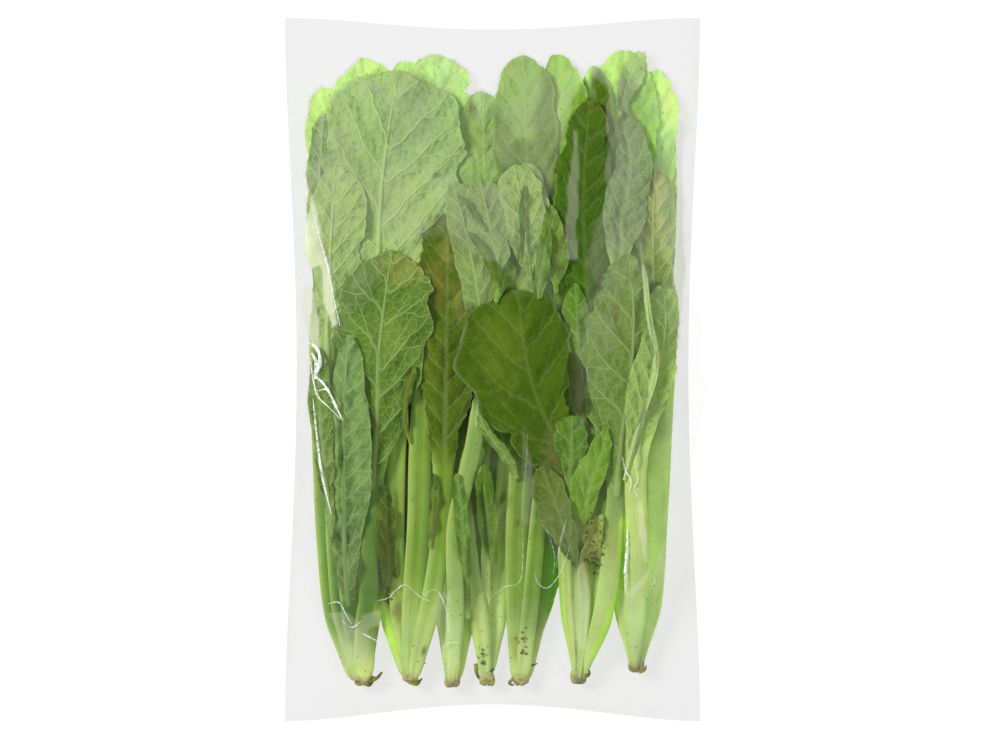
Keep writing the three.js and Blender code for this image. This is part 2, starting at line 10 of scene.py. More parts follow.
import bpy
import numpy as np
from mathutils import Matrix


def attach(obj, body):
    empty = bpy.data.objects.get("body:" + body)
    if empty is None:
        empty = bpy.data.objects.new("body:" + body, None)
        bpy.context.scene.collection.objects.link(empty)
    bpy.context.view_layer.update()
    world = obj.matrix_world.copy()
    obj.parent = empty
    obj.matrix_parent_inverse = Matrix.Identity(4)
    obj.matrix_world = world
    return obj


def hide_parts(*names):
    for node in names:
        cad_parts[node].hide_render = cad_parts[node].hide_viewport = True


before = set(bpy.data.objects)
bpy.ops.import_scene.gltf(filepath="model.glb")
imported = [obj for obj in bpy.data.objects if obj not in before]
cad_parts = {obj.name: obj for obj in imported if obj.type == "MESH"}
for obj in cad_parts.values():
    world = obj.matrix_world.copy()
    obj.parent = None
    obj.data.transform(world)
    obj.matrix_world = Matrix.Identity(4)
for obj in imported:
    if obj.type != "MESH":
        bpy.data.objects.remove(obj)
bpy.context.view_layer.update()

METRE = 0.001  # metres in a millimetre

# Driving dimensions, which the frame's own solids share

BAG_WIDTH = 249
BAG_LENGTH = 422
BAG_WAIST = 7  # how far each side is drawn in at the middle of the bag
MOUTH_DIP = 7  # how far the open end is drawn in at its middle
FOOT_DIP = 10  # and the closed end
FILM = 0.9  # thickness of the frame's film, on which the leaves lie
STALK_RINGS = 6  # rows of points along a stalk
BLADE_RINGS = 13  # and along a blade
ACROSS = np.array([-1, -0.5, 0, 0.5, 1])  # places across a row, as shares of its half width
BLADE_HALF_THICKNESS = 0.35
RIB_DEPTH = 1.4  # the midrib's depth below the blade at its base
STALK_WIDTH = 12
STALK_ABOVE = np.array([0.4, 1.5, 1.0, 1.5, 0.4])  # section of such a stalk, above its middle
STALK_BELOW = np.array([0.5, 2.5, 3.3, 2.5, 0.5])  # and below it
BLADE_ONSET = 7  # how soon the stalk widens to the blade
RING_CROWDING = 1.5  # of rows, towards the tip
TIP_POWER = 14  # the higher, the blunter the leaf tips
TIP_LEFT = 0.07  # keeps a short straight edge at the very tip
LOBES = 0.07  # waving of a blade's margin, as a share of its half width
SMALL_LOBES = 0.042
LOBE_TURN = 31  # radians of those waves along a blade
SMALL_LOBE_TURN = 57
LOBE_SHIFT = 1.7  # phase from one leaf to the next, and from one side to the other
LOBE_SIDE_SHIFT = 2.1
RUFFLE = 1.8  # rise and fall of the margin
RUFFLE_TURN = 17
RUFFLE_SHIFT = 2.4
RUFFLE_SIDE_SHIFT = 1.9
CROWN_RADIUS = 6.5
CROWN_LENGTH = 15
CROWN_FLATNESS = 0.85  # a crown's height, as a share of its width
CROWN_REACH = 72  # within which the stalks of one plant may run together
LEAF_RISE = 0.9  # from one leaf of a plant to the next, at the crown
LEAVES_BELOW = 2  # how many leaves of a plant spring from below its crown's middle
GAP = 0.5  # between a leaf and what it lies on
CELL = 1.5  # of the height map
SAMPLE = 1.0  # spacing of the points where a leaf is tested against the map
MAP_HALF = np.array([132, 220])  # half of the map's width and length
SETTLE_ROUNDS = 60
SAG = 0.12  # how far a leaf sinks in each round
SETTLED = 1e-3  # shortfall at which a leaf counts as clear
CURVE_STEPS = 200  # steps in which a midrib's length is measured

# Driving dimensions of what is only in this script

ROW_STEP = 1.5  # spacing of a leaf's fine rows on its blade
STALK_STEP = 4.0  # and on its stalk
COLUMN_STEP = 1.9  # spacing of its columns
FEWEST_COLUMNS, MOST_COLUMNS = 20, 44
CROWDING = 0.15  # of the columns, towards the margins
THICKNESS = 0.22  # half the thickness of a real blade, as drawn
FINE_CELL = 1.2  # of the height map of the fine leaves
FINE_GAP = 0.15  # between a fine leaf and what it lies on
SPREAD_ROUNDS = 8  # how far a lifted point draws its neighbours up
LOWEST_RISE = 0.27  # of the lowest leaves, off the film under them
TOOTH_LENGTH = 6.5  # from one tooth of the margin to the next
TOOTH_DEPTH = 1.1
TOOTH_RISE = 0.7  # share of a tooth that runs gently out
NOTCH_DEPTH = 2.2  # of the broad bays in a margin
TEAR_DEPTH = 6.0  # of the few tears
FULL_TEETH_REACH = 24  # half width of a blade with teeth of full size
LARGEST_TEETH = 1.25  # on wider blades, as a share of full size
TIP_START = 0.8  # share of the blade where its rounded end begins
TIP_BULGE = 0.35  # of the blade's end, as a share of its half width there
FILM_STEP = 1.3  # spacing of the film's points
FOOT_LENGTH = 36  # over which a stalk narrows towards its foot
FOOT_NARROWINGS = (0.05, 0.25, 0.25, 0.4, 0.1, 0.58, 0.58)  # for each plant
FOOT_ROUNDING = 10  # over which the end of a foot is rounded off
FOOT_GATHER = 0.2  # how far the feet of a plant are drawn together
FOOT_REACH = 3.5  # how far a foot runs past the middle of the crown
STALK_TOP, STALK_BOTTOM = 1.9, 3.2  # how far a stalk's faces lie from its middle
GROOVE_DEPTH, GROOVE_WIDTH = 0.8, 0.38  # of a stalk's groove, its width as a share of the stalk's
STALK_RIBS, STALK_RIB_TURN = 0.04, 19  # height of a stalk's fine ribs, and their radians over a half width
MIDRIB_DEPTH, MIDRIB_WIDTH = 1.5, 2.2  # of the midrib under a blade
QUILT = 0.042  # rise of the blade between two veins, as a share of their spacing
WAVE = 1.5  # of the blade near its margin
UNEVEN, FINELY_UNEVEN, FOLD = 1.1, 0.4, 1.1  # rise and fall of a blade: broad, fine, and in folds
VEIN_SPACING = (12, 25)  # least and most, from one side vein to the next
SPACING_SHARE = 0.7  # of a leaf's half width
VEIN_SLANT, VEIN_BEND = 0.95, 0.35  # how far up the leaf a side vein runs on its way out
BRANCH_START, BRANCH_SLANT = 0.4, 0.15  # where branches leave the side veins, in half widths
NET_START, NET_SLANT = 0.2, 2.4
SHARP_ANGLE = np.radians(55)  # from which an edge is shaded as a sharp one

# How crumpled a leaf or scrap is, by its number in the two lists together, where it isn't 1
CRUMPLED = {12: 1.6, 22: 1.5, 26: 1.5, 27: 1.5, 28: 1.4, 29: 1.3, 32: 4.5, 34: 0.8,
            44: 3.0, 50: 3.0, 52: 2.0, 53: 2.0}

# The middle of each plant's crown
CROWNS = ((-78, -182), (-49, -180), (-24, -183), (-3, -182), (17, -182), (51, -181), (86, -174))


def leaf(plant, stalk, start, left, right, tint, under, path):
    """One leaf: its plant, the width of its stalk, the Y where its blade begins, the blade's
    half widths at even steps from base to tip, its tint, whether its underside is up, and
    its midrib from crown to tip."""
    return {"plant": plant, "stalk": stalk, "start": start, "left": left, "right": right,
            "tint": tint, "under": under, "path": path}


# From the lowest leaf to the topmost; the first four are tinted dark as painted shade between the stalks
LEAVES = (
    leaf(2, 10, -130, (4, 8, 10, 10, 8, 6), (4, 8, 11, 11, 8, 6), "shade", False,
         ((-50, -180), (-51, -150), (-52, -110), (-51, -60), (-49, -10), (-47, 24))),
    leaf(3, 10, -132, (4, 8, 10, 10, 8, 6), (4, 7, 9, 9, 8, 6), "shade", False,
         ((-25, -183), (-29, -150), (-35, -110), (-36, -60), (-33, -10), (-31, 20))),
    leaf(4, 9, -140, (4, 7, 9, 9, 8, 6), (4, 7, 9, 10, 8, 6), "shade", False,
         ((-3, -182), (-3, -150), (-4, -110), (-2, -60), (0, -10), (0, 14))),
    leaf(5, 9, -148, (3, 6, 8, 8, 8, 6), (3, 6, 9, 9, 8, 6), "shade", False,
         ((18, -182), (27, -154), (37, -122), (40, -90), (41, -50), (41, -12))),
    leaf(1, 10, 40, (3, 7, 10, 11, 11, 10), (3, 10, 16, 18, 18, 16), "backlit", False,
         ((-77, -182), (-84, -138), (-89, -48), (-94, 42), (-99, 108), (-102, 168))),
    leaf(2, 12, 20, (4, 13, 18, 20, 20, 20), (4, 14, 22, 24, 24, 22), "backlit", False,
         ((-52, -180), (-61, -150), (-66, -102), (-68, -48), (-72, 42), (-77, 114), (-77, 185))),
    leaf(2, 11, 30, (3, 10, 14, 16, 16, 14), (3, 11, 16, 18, 17, 14), "backlit", False,
         ((-50, -180), (-55, -150), (-58, -102), (-56, -18), (-53, 72), (-52, 184))),
    leaf(7, 10, 42, (3, 8, 12, 13, 13, 11), (2, 3, 4, 4, 4, 5), "pale_under", True,
         ((89, -175), (96, -144), (100, -90), (103, -30), (106, 30), (107, 90), (105, 146))),
    leaf(7, 12, 30, (4, 13, 19, 21, 21, 20), (4, 8, 10, 12, 14, 13), "backlit", False,
         ((88, -176), (91, -138), (92, -78), (94, -6), (96, 66), (97, 126), (99, 178))),
    leaf(7, 13, 36, (5, 13, 18, 20, 20, 20), (5, 13, 18, 20, 20, 19), "lime", False,
         ((84, -176), (80, -138), (80, -66), (78, 6), (78, 78), (79, 132), (79, 190))),
    leaf(6, 10, 30, (3, 9, 13, 14, 13, 10), (3, 9, 12, 13, 13, 10), "deep", False,
         ((54, -182), (64, -146), (70, -100), (71, -40), (67, 30), (63, 110), (61, 181))),
    leaf(5, 12, 0, (4, 11, 15, 15, 14, 12), (4, 13, 18, 20, 20, 18), "bright", False,
         ((19, -183), (27, -142), (30, -93), (35, -18), (38, 54), (40, 120), (39, 188))),
    leaf(1, 12, 24, (3, 5, 6, 7, 8, 8, 8), (3, 10, 16, 18, 18, 18, 15), "grey_green", True,
         ((-82, -182), (-94, -150), (-99, -108), (-102, -48), (-104, 36), (-104, 102), (-101, 153))),
    leaf(2, 14, 24, (5, 15, 22, 25, 26, 25, 24), (5, 15, 22, 25, 26, 25, 23), "pale", False,
         ((-49, -181), (-47, -138), (-44, -93), (-43, -48), (-39, 12), (-34, 72), (-33, 132), (-34, 187))),
    leaf(3, 13, 10, (5, 13, 18, 19, 19, 18, 17), (5, 13, 18, 19, 18, 17, 15), "pale", False,
         ((-24, -184), (-25, -150), (-26, -114), (-22, -66), (-15, -6), (-9, 54), (-6, 108), (-6, 165))),
    leaf(3, 10, -20, (4, 12, 16, 16, 14, 12), (4, 12, 16, 16, 14, 12), "mid", False,
         ((-21, -183), (-15, -144), (-12, -102), (-6, -48), (4, 24), (14, 78), (18, 137))),
    leaf(4, 13, -30, (4, 12, 17, 19, 18, 15), (4, 13, 18, 20, 19, 15), "mid", False,
         ((-3, -183), (2, -149), (7, -93), (9, -60), (11, -18), (12, 42), (10, 117))),
    leaf(4, 12, -48, (4, 12, 18, 21, 20, 17), (4, 12, 18, 20, 18, 15), "olive", False,
         ((-4, -183), (-8, -150), (-15, -108), (-19, -60), (-18, -18), (-14, 24), (-12, 84))),
    leaf(5, 14, 24, (5, 12, 17, 19, 19, 19, 18), (5, 12, 17, 19, 20, 20, 18), "soft", False,
         ((17, -184), (15, -138), (15, -93), (20, -18), (23, 42), (21, 102), (18, 187))),
    leaf(3, 11, -72, (4, 8, 10, 12, 16, 18, 18), (4, 6, 9, 13, 16, 18, 17), "pale", False,
         ((-24, -184), (-22, -138), (-22, -87), (-8, -43), (5, 6), (14, 60), (21, 122))),
    leaf(5, 10, 0, (3, 9, 14, 14, 11, 7), (3, 8, 11, 12, 10, 6), "mid", False,
         ((18, -183), (23, -138), (27, -93), (34, -30), (37, 24), (38, 60), (38, 99))),
    leaf(1, 12, 30, (6, 26, 34, 36, 38, 39, 40), (6, 24, 38, 46, 47, 46, 46), "under", True,
         ((-78, -183), (-72, -138), (-71, -78), (-71, -18), (-69, 42), (-66, 112), (-57, 176))),
    leaf(1, 10, 10, (3, 7, 9, 12, 13, 13, 12), (3, 10, 16, 19, 20, 20, 16), "under", True,
         ((-81, -182), (-90, -150), (-94, -110), (-96, -48), (-99, 12), (-97, 66), (-94, 121))),
    leaf(6, 12, 10, (4, 11, 16, 19, 18, 15, 12), (4, 10, 14, 16, 17, 16, 13), "deep_olive", False,
         ((52, -182), (59, -140), (63, -90), (62, -30), (57, 42), (54, 102), (58, 160))),
    leaf(6, 9, -60, (3, 8, 11, 11, 10, 6), (3, 9, 13, 14, 12, 7), "mid", False,
         ((50, -182), (45, -142), (44, -100), (49, -40), (51, 12), (49, 51))),
    leaf(7, 12, -20, (4, 10, 14, 16, 15, 10), (4, 8, 10, 12, 12, 10), "yellowish", True,
         ((88, -175), (94, -144), (98, -99), (98, -42), (97, 18), (96, 66), (97, 119))),
    leaf(7, 9, 60, (3, 9, 12, 12, 9, 6, 2.5, 7, 7), (3, 9, 13, 14, 13, 10, 3, 8, 11), "grey_green", False,
         ((84, -176), (78, -150), (74, -102), (73, -42), (73, 24), (77, 84), (82, 126), (77, 156),
          (88, 190))),
    leaf(2, 12, -64, (4, 10, 15, 19, 21, 20, 18), (4, 10, 16, 20, 22, 22, 18), "olive", False,
         ((-47, -181), (-39, -150), (-31, -102), (-29, -48), (-28, 0), (-27, 54), (-27, 92))),
    leaf(3, 10, -30, (3, 6, 9, 10, 11, 10), (3, 7, 12, 15, 16, 13), "pale_grey", True,
         ((-24, -184), (-22, -146), (-22, -92), (-13, -54), (-7, -14), (-6, 24), (-12, 66), (-23, 111))),
    leaf(1, 13, -68, (4, 12, 19, 25, 28, 27, 22), (4, 14, 22, 28, 29, 28, 22), "fresh_under", True,
         ((-77, -183), (-75, -138), (-73, -78), (-69, -30), (-68, 6), (-64, 42), (-60, 70))),
    leaf(6, 12, -72, (4, 14, 24, 28, 29, 27, 20), (4, 8, 10, 9, 9, 9, 8), "soft", True,
         ((54, -182), (63, -158), (69, -126), (72, -93), (77, -42), (83, 3), (84, 42), (81, 67))),
    leaf(7, 13, -55, (4, 10, 14, 14, 13, 12), (4, 9, 11, 10, 8, 7), "pale", True,
         ((85, -176), (85, -138), (86, -102), (85, -66), (89, -30), (98, 0), (103, 24), (103, 50))),
    leaf(1, 10, -138, (4, 7, 10, 12, 12, 10, 8), (4, 8, 14, 18, 18, 12, 8), "blue_green", True,
         ((-81, -182), (-86, -138), (-89, -78), (-89, -30), (-86, 20))),
    leaf(4, 6, -108, (2, 5, 6, 5), (2, 4, 5, 4), "bright", False,
         ((-4, -182), (-4, -150), (-4, -108), (-4, -78), (-5, -57))),
    leaf(6, 12, -90, (3, 11, 23, 32, 40, 40, 37), (3, 6, 11, 19, 27, 30, 31), "deep", False,
         ((51, -183), (52, -150), (50, -114), (48, -81), (41, -51), (29, -24), (20, 6), (15, 45))),
    leaf(6, 6, -68, (2, 6, 10, 10, 9), (2, 6, 10, 10, 9), "mid", False,
         ((49, -182), (45, -145), (44, -108), (46, -69), (47, -48), (47, -28))),
    leaf(6, 7, -99, (3, 8, 11, 11, 8, 4), (2, 5, 7, 8, 7, 4), "bright", False,
         ((52, -182), (55, -150), (54, -120), (53, -99), (57, -72), (65, -48), (68, -35))),
)


def smooth(t):
    """A smooth step from 0 to 1."""
    x = np.clip(t, 0, 1)
    return x * x * (3 - 2 * x)


def lerp(a, b, share):
    return a + (b - a) * share


def around(grid):
    """The sum of a point's four neighbours, for each point that isn't at the grid's edge."""
    return grid[:-2, 1:-1] + grid[2:, 1:-1] + grid[1:-1, :-2] + grid[1:-1, 2:]


def read_grid(grid, row, column):
    """A grid read at real row and column indexes, straight between its points."""
    low_row = np.clip(np.floor(row), 0, grid.shape[0] - 2).astype(int)
    low_column = np.clip(np.floor(column), 0, grid.shape[1] - 2).astype(int)
    f, g = row - low_row, column - low_column
    near = lerp(grid[low_row, low_column], grid[low_row, low_column + 1], g)
    far = lerp(grid[low_row + 1, low_column], grid[low_row + 1, low_column + 1], g)
    return lerp(near, far, f)


def read_list(values, t):
    """A list of values at even steps, read at the shares t of its length."""
    values = np.array(values, float)
    at = np.clip(t, 0, 1) * (len(values) - 1)
    low = np.minimum(len(values) - 2, np.floor(at)).astype(int)
    share = at - low
    return lerp(values[low], values[low + 1], (smooth(share) + share) / 2)


class Midrib:
    """The smooth curve through a leaf's path, read at shares of its length."""

    def __init__(self, path):
        self.points = np.array(path, float)
        self.steps = np.linspace(0, 1, CURVE_STEPS + 1)
        dense = self.place(self.steps)
        lengths = np.concatenate([[0], np.cumsum(np.hypot(*np.diff(dense, axis=0).T))])
        self.length = lengths[-1]
        self.shares = lengths / self.length
        self.heights = dense[:, 1]

    def place(self, t):
        """Centripetal Catmull-Rom spline."""
        points = self.points
        ends = [2 * points[0] - points[1], 2 * points[-1] - points[-2]]
        padded = np.vstack([ends[0], points, ends[1]])
        spans = len(points) - 1
        at = np.clip(t, 0, 1) * spans
        first = np.minimum(spans - 1, np.floor(at)).astype(int)
        weight = (at - first)[:, None]
        p0, p1, p2, p3 = (padded[first + k] for k in range(4))
        d0, d1, d2 = (np.sqrt(np.linalg.norm(b - a, axis=1))[:, None]
                      for a, b in ((p0, p1), (p1, p2), (p2, p3)))
        leave = ((p1 - p0) / d0 - (p2 - p0) / (d0 + d1) + (p2 - p1) / d1) * d1
        arrive = ((p2 - p1) / d1 - (p3 - p1) / (d1 + d2) + (p3 - p2) / d2) * d1
        bend = 3 * (p2 - p1) - 2 * leave - arrive
        return p1 + weight * leave + weight**2 * bend + weight**3 * (2 * (p1 - p2) + leave + arrive)

    def at(self, share):
        return self.place(np.interp(share, self.shares, self.steps))

    def ahead(self, share):
        t = np.interp(share, self.shares, self.steps)
        step = self.place(t + 1e-4) - self.place(t - 1e-4)
        return step / np.linalg.norm(step, axis=1)[:, None]

    def share_at_height(self, y):
        return np.interp(y, self.heights, self.shares)


def ring_place(row, blade_start):
    """Share of the midrib and share of the blade at a row, which may lie between rings."""
    t = np.clip((row - STALK_RINGS) / (BLADE_RINGS - 1), 0, 1)
    blade = 1 - (1 - t) ** RING_CROWDING
    on_stalk = blade_start * row / STALK_RINGS
    return np.where(row < STALK_RINGS, on_stalk, lerp(blade_start, 1, blade)), blade


def blade_half_width(side, blade, number, is_left):
    """Half widths along one side of a blade, with its lobes and its rounded tip."""
    round_tip = np.sqrt(np.maximum(TIP_LEFT, 1 - blade**TIP_POWER))
    phase = number * LOBE_SHIFT + (LOBE_SIDE_SHIFT if is_left else 0)
    lobes = LOBES * np.sin(blade * LOBE_TURN + phase)
    lobes = lobes + SMALL_LOBES * np.sin(blade * SMALL_LOBE_TURN + phase * 3)
    return read_list(side, blade) * round_tip * (1 + lobes)


def grid_triangles(rows, columns):
    """The two triangles of each grid cell, cut so that they mirror about the middle."""
    a = (np.arange(rows - 1)[:, None] * columns + np.arange(columns - 1)[None, :]).ravel()
    b = a + columns
    left = (a % columns) < (columns - 1) / 2
    first = np.where(left[:, None], np.stack([a, a + 1, b], 1), np.stack([a, a + 1, b + 1], 1))
    second = np.where(left[:, None], np.stack([a + 1, b + 1, b], 1), np.stack([a, b + 1, b], 1))
    return np.stack([first, second], 1).reshape(-1, 3)


def spread(grid, pick):
    """The greatest or the least value of each cell and the eight round it."""
    for axis in (0, 1):
        grid = pick([grid, np.roll(grid, 1, axis), np.roll(grid, -1, axis)], axis=0)
    return grid


class HeightMap:
    """How high the heap reaches, in cells. What lies near a plant's own crown is kept
    apart, because the stalks of one plant may run into each other there."""

    def __init__(self, cell):
        self.cell = cell
        self.columns, self.rows = np.ceil(2 * MAP_HALF / cell).astype(int)
        self.outer = self.blank()
        self.inner = [self.blank() for _ in CROWNS]
        self.layers = np.zeros((self.rows, self.columns))

    def blank(self):
        return np.full((self.rows, self.columns), float(FILM))

    def cells(self, x, y):
        column = np.clip(np.floor((x + MAP_HALF[0]) / self.cell), 1, self.columns - 2)
        row = np.clip(np.floor((y + MAP_HALF[1]) / self.cell), 1, self.rows - 2)
        return (row * self.columns + column).astype(int)

    def middles(self):
        """The middle of every cell."""
        x = (np.arange(self.columns) + 0.5) * self.cell - MAP_HALF[0]
        y = (np.arange(self.rows) + 0.5) * self.cell - MAP_HALF[1]
        return np.meshgrid(x, y)

    def ground(self, plant=None):
        """The height under a leaf of that plant, or under the film."""
        others = [m for index, m in enumerate(self.inner) if index + 1 != plant]
        return np.max([self.outer, *others], axis=0).ravel()

    def stamp(self, x, y, z):
        """A map of these points alone, each spread over its neighbours."""
        own = np.full(self.rows * self.columns, -np.inf)
        np.maximum.at(own, self.cells(x, y), z)
        return spread(own.reshape(self.rows, self.columns), np.max)

    def raise_to(self, x, y, z, plant):
        """Raises the heap to these points of a plant."""
        crown = CROWNS[plant - 1]
        near = np.hypot(x - crown[0], y - crown[1]) < CROWN_REACH
        if near.any():
            inner = self.stamp(x[near], y[near], z[near])
            self.inner[plant - 1] = np.maximum(self.inner[plant - 1], inner)
        if (~near).any():
            outer = self.stamp(x[~near], y[~near], z[~near])
            self.outer = np.maximum(self.outer, outer)

    def count_layer(self, x, y):
        """Adds one leaf to the number of layers, with the gaps between its points closed."""
        self.layers += spread(self.stamp(x, y, x * 0 + 1) > 0, np.min)


CROWN_HEIGHT = FILM + GAP + CROWN_RADIUS * CROWN_FLATNESS  # of a crown's axis


def mark_crowns(heap):
    """Marks the crowns on the heap as low round bars."""
    for plant, (crown_x, crown_y) in enumerate(CROWNS, 1):
        x, y = np.meshgrid(np.arange(-CROWN_RADIUS, CROWN_RADIUS + 0.1, SAMPLE),
                           np.arange(-CROWN_LENGTH / 2, CROWN_LENGTH / 2 + 0.1, SAMPLE))
        x, y = x.ravel(), y.ravel()
        top = CROWN_HEIGHT + CROWN_FLATNESS * np.sqrt(CROWN_RADIUS**2 - x**2)
        mark = heap.stamp(crown_x + x, crown_y + y, top)
        heap.inner[plant - 1] = np.maximum(heap.inner[plant - 1], mark)


class Sheet:
    """A leaf as a grid of points: a middle height z, with what lies below and above it."""

    def __init__(self, entry, number):
        self.midrib = Midrib(entry["path"])
        self.blade_start = self.midrib.share_at_height(entry["start"])
        row = np.arange(STALK_RINGS + BLADE_RINGS, dtype=float)
        share, blade = ring_place(row, self.blade_start)
        fullness = smooth(blade * BLADE_ONSET)[:, None]
        half = np.empty((len(row), len(ACROSS)))
        for column, across in enumerate(ACROSS):
            side = entry["left"] if across < 0 else entry["right"]
            wide = blade_half_width(side, blade, number, across < 0)
            half[:, column] = lerp(entry["stalk"] / 2, wide, fullness[:, 0])
        centre, ahead = self.midrib.at(share), self.midrib.ahead(share)
        self.half = half
        self.x = centre[:, :1] + ahead[:, 1:] * half * ACROSS
        self.y = centre[:, 1:] - ahead[:, :1] * half * ACROSS
        girth = entry["stalk"] / STALK_WIDTH
        rib = np.where(ACROSS == 0, RIB_DEPTH * (1 - blade[:, None]), 0)
        self.above = lerp(STALK_ABOVE * girth, BLADE_HALF_THICKNESS, fullness)
        self.below = lerp(STALK_BELOW * girth, BLADE_HALF_THICKNESS + rib, fullness)
        phase = number * RUFFLE_SHIFT + np.where(ACROSS < 0, RUFFLE_SIDE_SHIFT, 0)
        wave = np.sin(blade[:, None] * RUFFLE_TURN + phase)
        self.rest = fullness * RUFFLE * ACROSS**2 * wave
        self.z = np.zeros_like(self.x)


def sample_points(sheet):
    """Test points spread over a sheet's triangles: their corners and their weights."""
    triangles = grid_triangles(*sheet.x.shape)
    x, y = sheet.x.ravel()[triangles], sheet.y.ravel()[triangles]
    sides = np.hypot(x - np.roll(x, -1, 1), y - np.roll(y, -1, 1)).max(1)
    steps = np.maximum(1, np.ceil(sides / SAMPLE)).astype(int)
    corners, weights = [], []
    for count in np.unique(steps):
        i, j = np.meshgrid(np.arange(count + 1), np.arange(count + 1), indexing="ij")
        inside = i + j <= count
        u, v = i[inside] / count, j[inside] / count
        shares = np.stack([u, v, 1 - u - v], 1)
        chosen = triangles[steps == count]
        corners.append(np.repeat(chosen, len(shares), 0))
        weights.append(np.tile(shares, (len(chosen), 1)))
    return np.concatenate(corners), np.concatenate(weights)


def settle(sheet, corners, weights, ground):
    """Sinks a sheet onto the ground, stiff across its stalk and held at its crown."""
    clear_ground = ground + GAP
    z, below, rest = sheet.z, sheet.below.ravel(), sheet.rest
    shares = weights / (weights**2).sum(1)[:, None]
    order = np.argsort(corners.ravel(), kind="stable")
    starts = np.unique(corners.ravel()[order], return_index=True)[1]
    neighbours = around(np.pad(np.ones_like(z), 1))

    def clear():
        """Lifts what is too low, and tells by how much the worst point was."""
        under = ((z.ravel() - below)[corners] * weights).sum(1)
        short = np.maximum(0, clear_ground - under)
        lift = np.maximum.reduceat((short[:, None] * shares).ravel()[order], starts)
        z[1:] += lift.reshape(z.shape)[1:]
        z[1:STALK_RINGS] = z[1:STALK_RINGS].max(1, keepdims=True)
        return short.max()

    for _ in range(SETTLE_ROUNDS):
        total = around(np.pad(z - rest, 1))
        z[1:] = ((z + total / neighbours + rest) / 2 - SAG)[1:]
        clear()
    for _ in range(SETTLE_ROUNDS):
        if clear() <= SETTLED:
            break


# Broad low leaves that are seen only as the dark ground between the stalks, tinted dark as painted shade
LOWEST = (
    leaf(5, 3, -118, (3, 9, 11, 9), (3, 9, 11, 9), "shade", False,
         ((26, -120), (27, -90), (28, -60), (30, -20))),
    leaf(6, 3, -112, (4, 9, 13, 11), (4, 8, 9, 8), "shade", False,
         ((56, -114), (57, -80), (58, -50), (58, -10))),
    leaf(2, 3, -120, (4, 12, 14, 12), (4, 12, 15, 13), "shade", False,
         ((-52, -122), (-54, -90), (-55, -50), (-55, -10))),
    leaf(3, 3, -116, (4, 10, 12, 11), (4, 10, 12, 11), "shade", False,
         ((-15, -118), (-15, -90), (-15, -50), (-15, -10))),
)

# Torn and curled bits of leaf that lie on top of the heap
SCRAPS = (
    leaf(6, 3, -65, (2, 3.4, 2.8, 3.6, 3), (1.6, 2.6, 3.4, 2.6, 2.4), "soft", True,
         ((15, -66), (12, -58), (7, -50), (1, -43), (-4, -35), (-8, -27))),
    leaf(2, 2, -104, (0.6, 1.4, 1.6, 1.2), (1.4, 3.6, 4.4, 2.4), "olive", False,
         ((-37, -106), (-37, -92), (-36, -78), (-35, -62))),
    leaf(4, 3, -122, (1, 1.6, 1.4, 1), (2.6, 4.4, 5.2, 3), "bright", False,
         ((1, -124), (-1, -104), (-3, -84), (-5, -68))),
    leaf(3, 3, 42, (2, 5, 6, 4), (2, 4, 5, 3), "bright", False,
         ((2, 40), (5, 50), (9, 60), (11, 68))),
    leaf(3, 3, 54, (3, 9, 13, 13, 11), (3, 8, 10, 12, 11), "pale_grey", True,
         ((4, 52), (1, 76), (-4, 98), (-7, 113))),
    leaf(5, 3, 56, (3, 9, 12, 13, 12), (3, 9, 13, 14, 12), "pale", True,
         ((23, 54), (20, 80), (17, 102), (13, 121))),
    leaf(5, 3, 50, (3, 7, 8, 6, 3), (3, 8, 9, 6, 3), "soft", False,
         ((38, 46), (37, 64), (36, 82), (35, 98))),
    leaf(6, 3, -130, (1, 2.4, 5.5, 3, 4.5, 2), (0.8, 3.4, 2.6, 5, 3, 2.4), "withered", True,
         ((55, -132), (58, -120), (57, -108), (61, -98), (65, -86))),
    leaf(2, 3, -150, (2, 4, 6, 6, 4), (2, 4, 5, 6, 4), "olive", False,
         ((-59, -152), (-61, -124), (-63, -96), (-64, -70))),
    leaf(3, 3, -148, (1.5, 3, 4, 5, 4), (1.5, 3, 4, 4, 3), "mid", False,
         ((-15, -150), (-16, -120), (-18, -90), (-21, -62))),
    leaf(3, 2, 66, (1, 1.6, 2.2, 1), (1, 1.5, 1.2, 0.8), "deep_olive", False,
         ((17, 64), (18, 82), (18, 98), (19, 110))),
    leaf(3, 2, 84, (1, 2, 1.6, 1), (0.8, 1, 1.4, 0.8), "deep_olive", False,
         ((-4, 83), (-9, 91), (-15, 99), (-20, 104))),
    # a dark scrap tinted as painted shadow in a gap between leaves
    leaf(6, 3, -31, (2, 5, 5, 4, 2), (2, 4, 5, 5, 3), "gap_shadow", False,
         ((54, -32), (52, -18), (49, -4), (46, 10))),
    leaf(1, 3, -98, (2, 4, 6, 6, 5), (2, 5, 8, 8, 6), "fresh_under", True,
         ((-95, -100), (-99, -72), (-102, -40), (-104, -12), (-103, 12))),
    leaf(2, 2, -42, (0.8, 2.4, 3.4, 3), (0.8, 2, 2.6, 3), "olive", False,
         ((-49, -44), (-52, -30), (-51, -14), (-47, 2))),
    leaf(6, 3, -126, (1.5, 5, 10, 13, 10), (1.5, 4, 7, 9, 8), "russet", False,
         ((53, -128), (47, -108), (40, -88), (34, -70), (30, -58))),
    leaf(7, 2, -64, (1, 1.6, 2.6, 1.4, 2, 1), (1, 2.2, 1.4, 2.6, 1.6, 0.8), "pale_under", True,
         ((78, -66), (88, -30), (97, 0), (93, 30), (91, 54), (88, 76))),
    leaf(3, 2, 49, (2, 3, 3.4, 2), (1.6, 3.4, 2.6, 1.4), "deep", False,
         ((4, 47), (0, 60), (-6, 72), (-14, 82))),
    leaf(5, 3, 44, (2, 4, 5, 4), (2, 5, 4, 2), "mid", False,
         ((28, 42), (29, 56), (31, 70), (34, 84))),
)


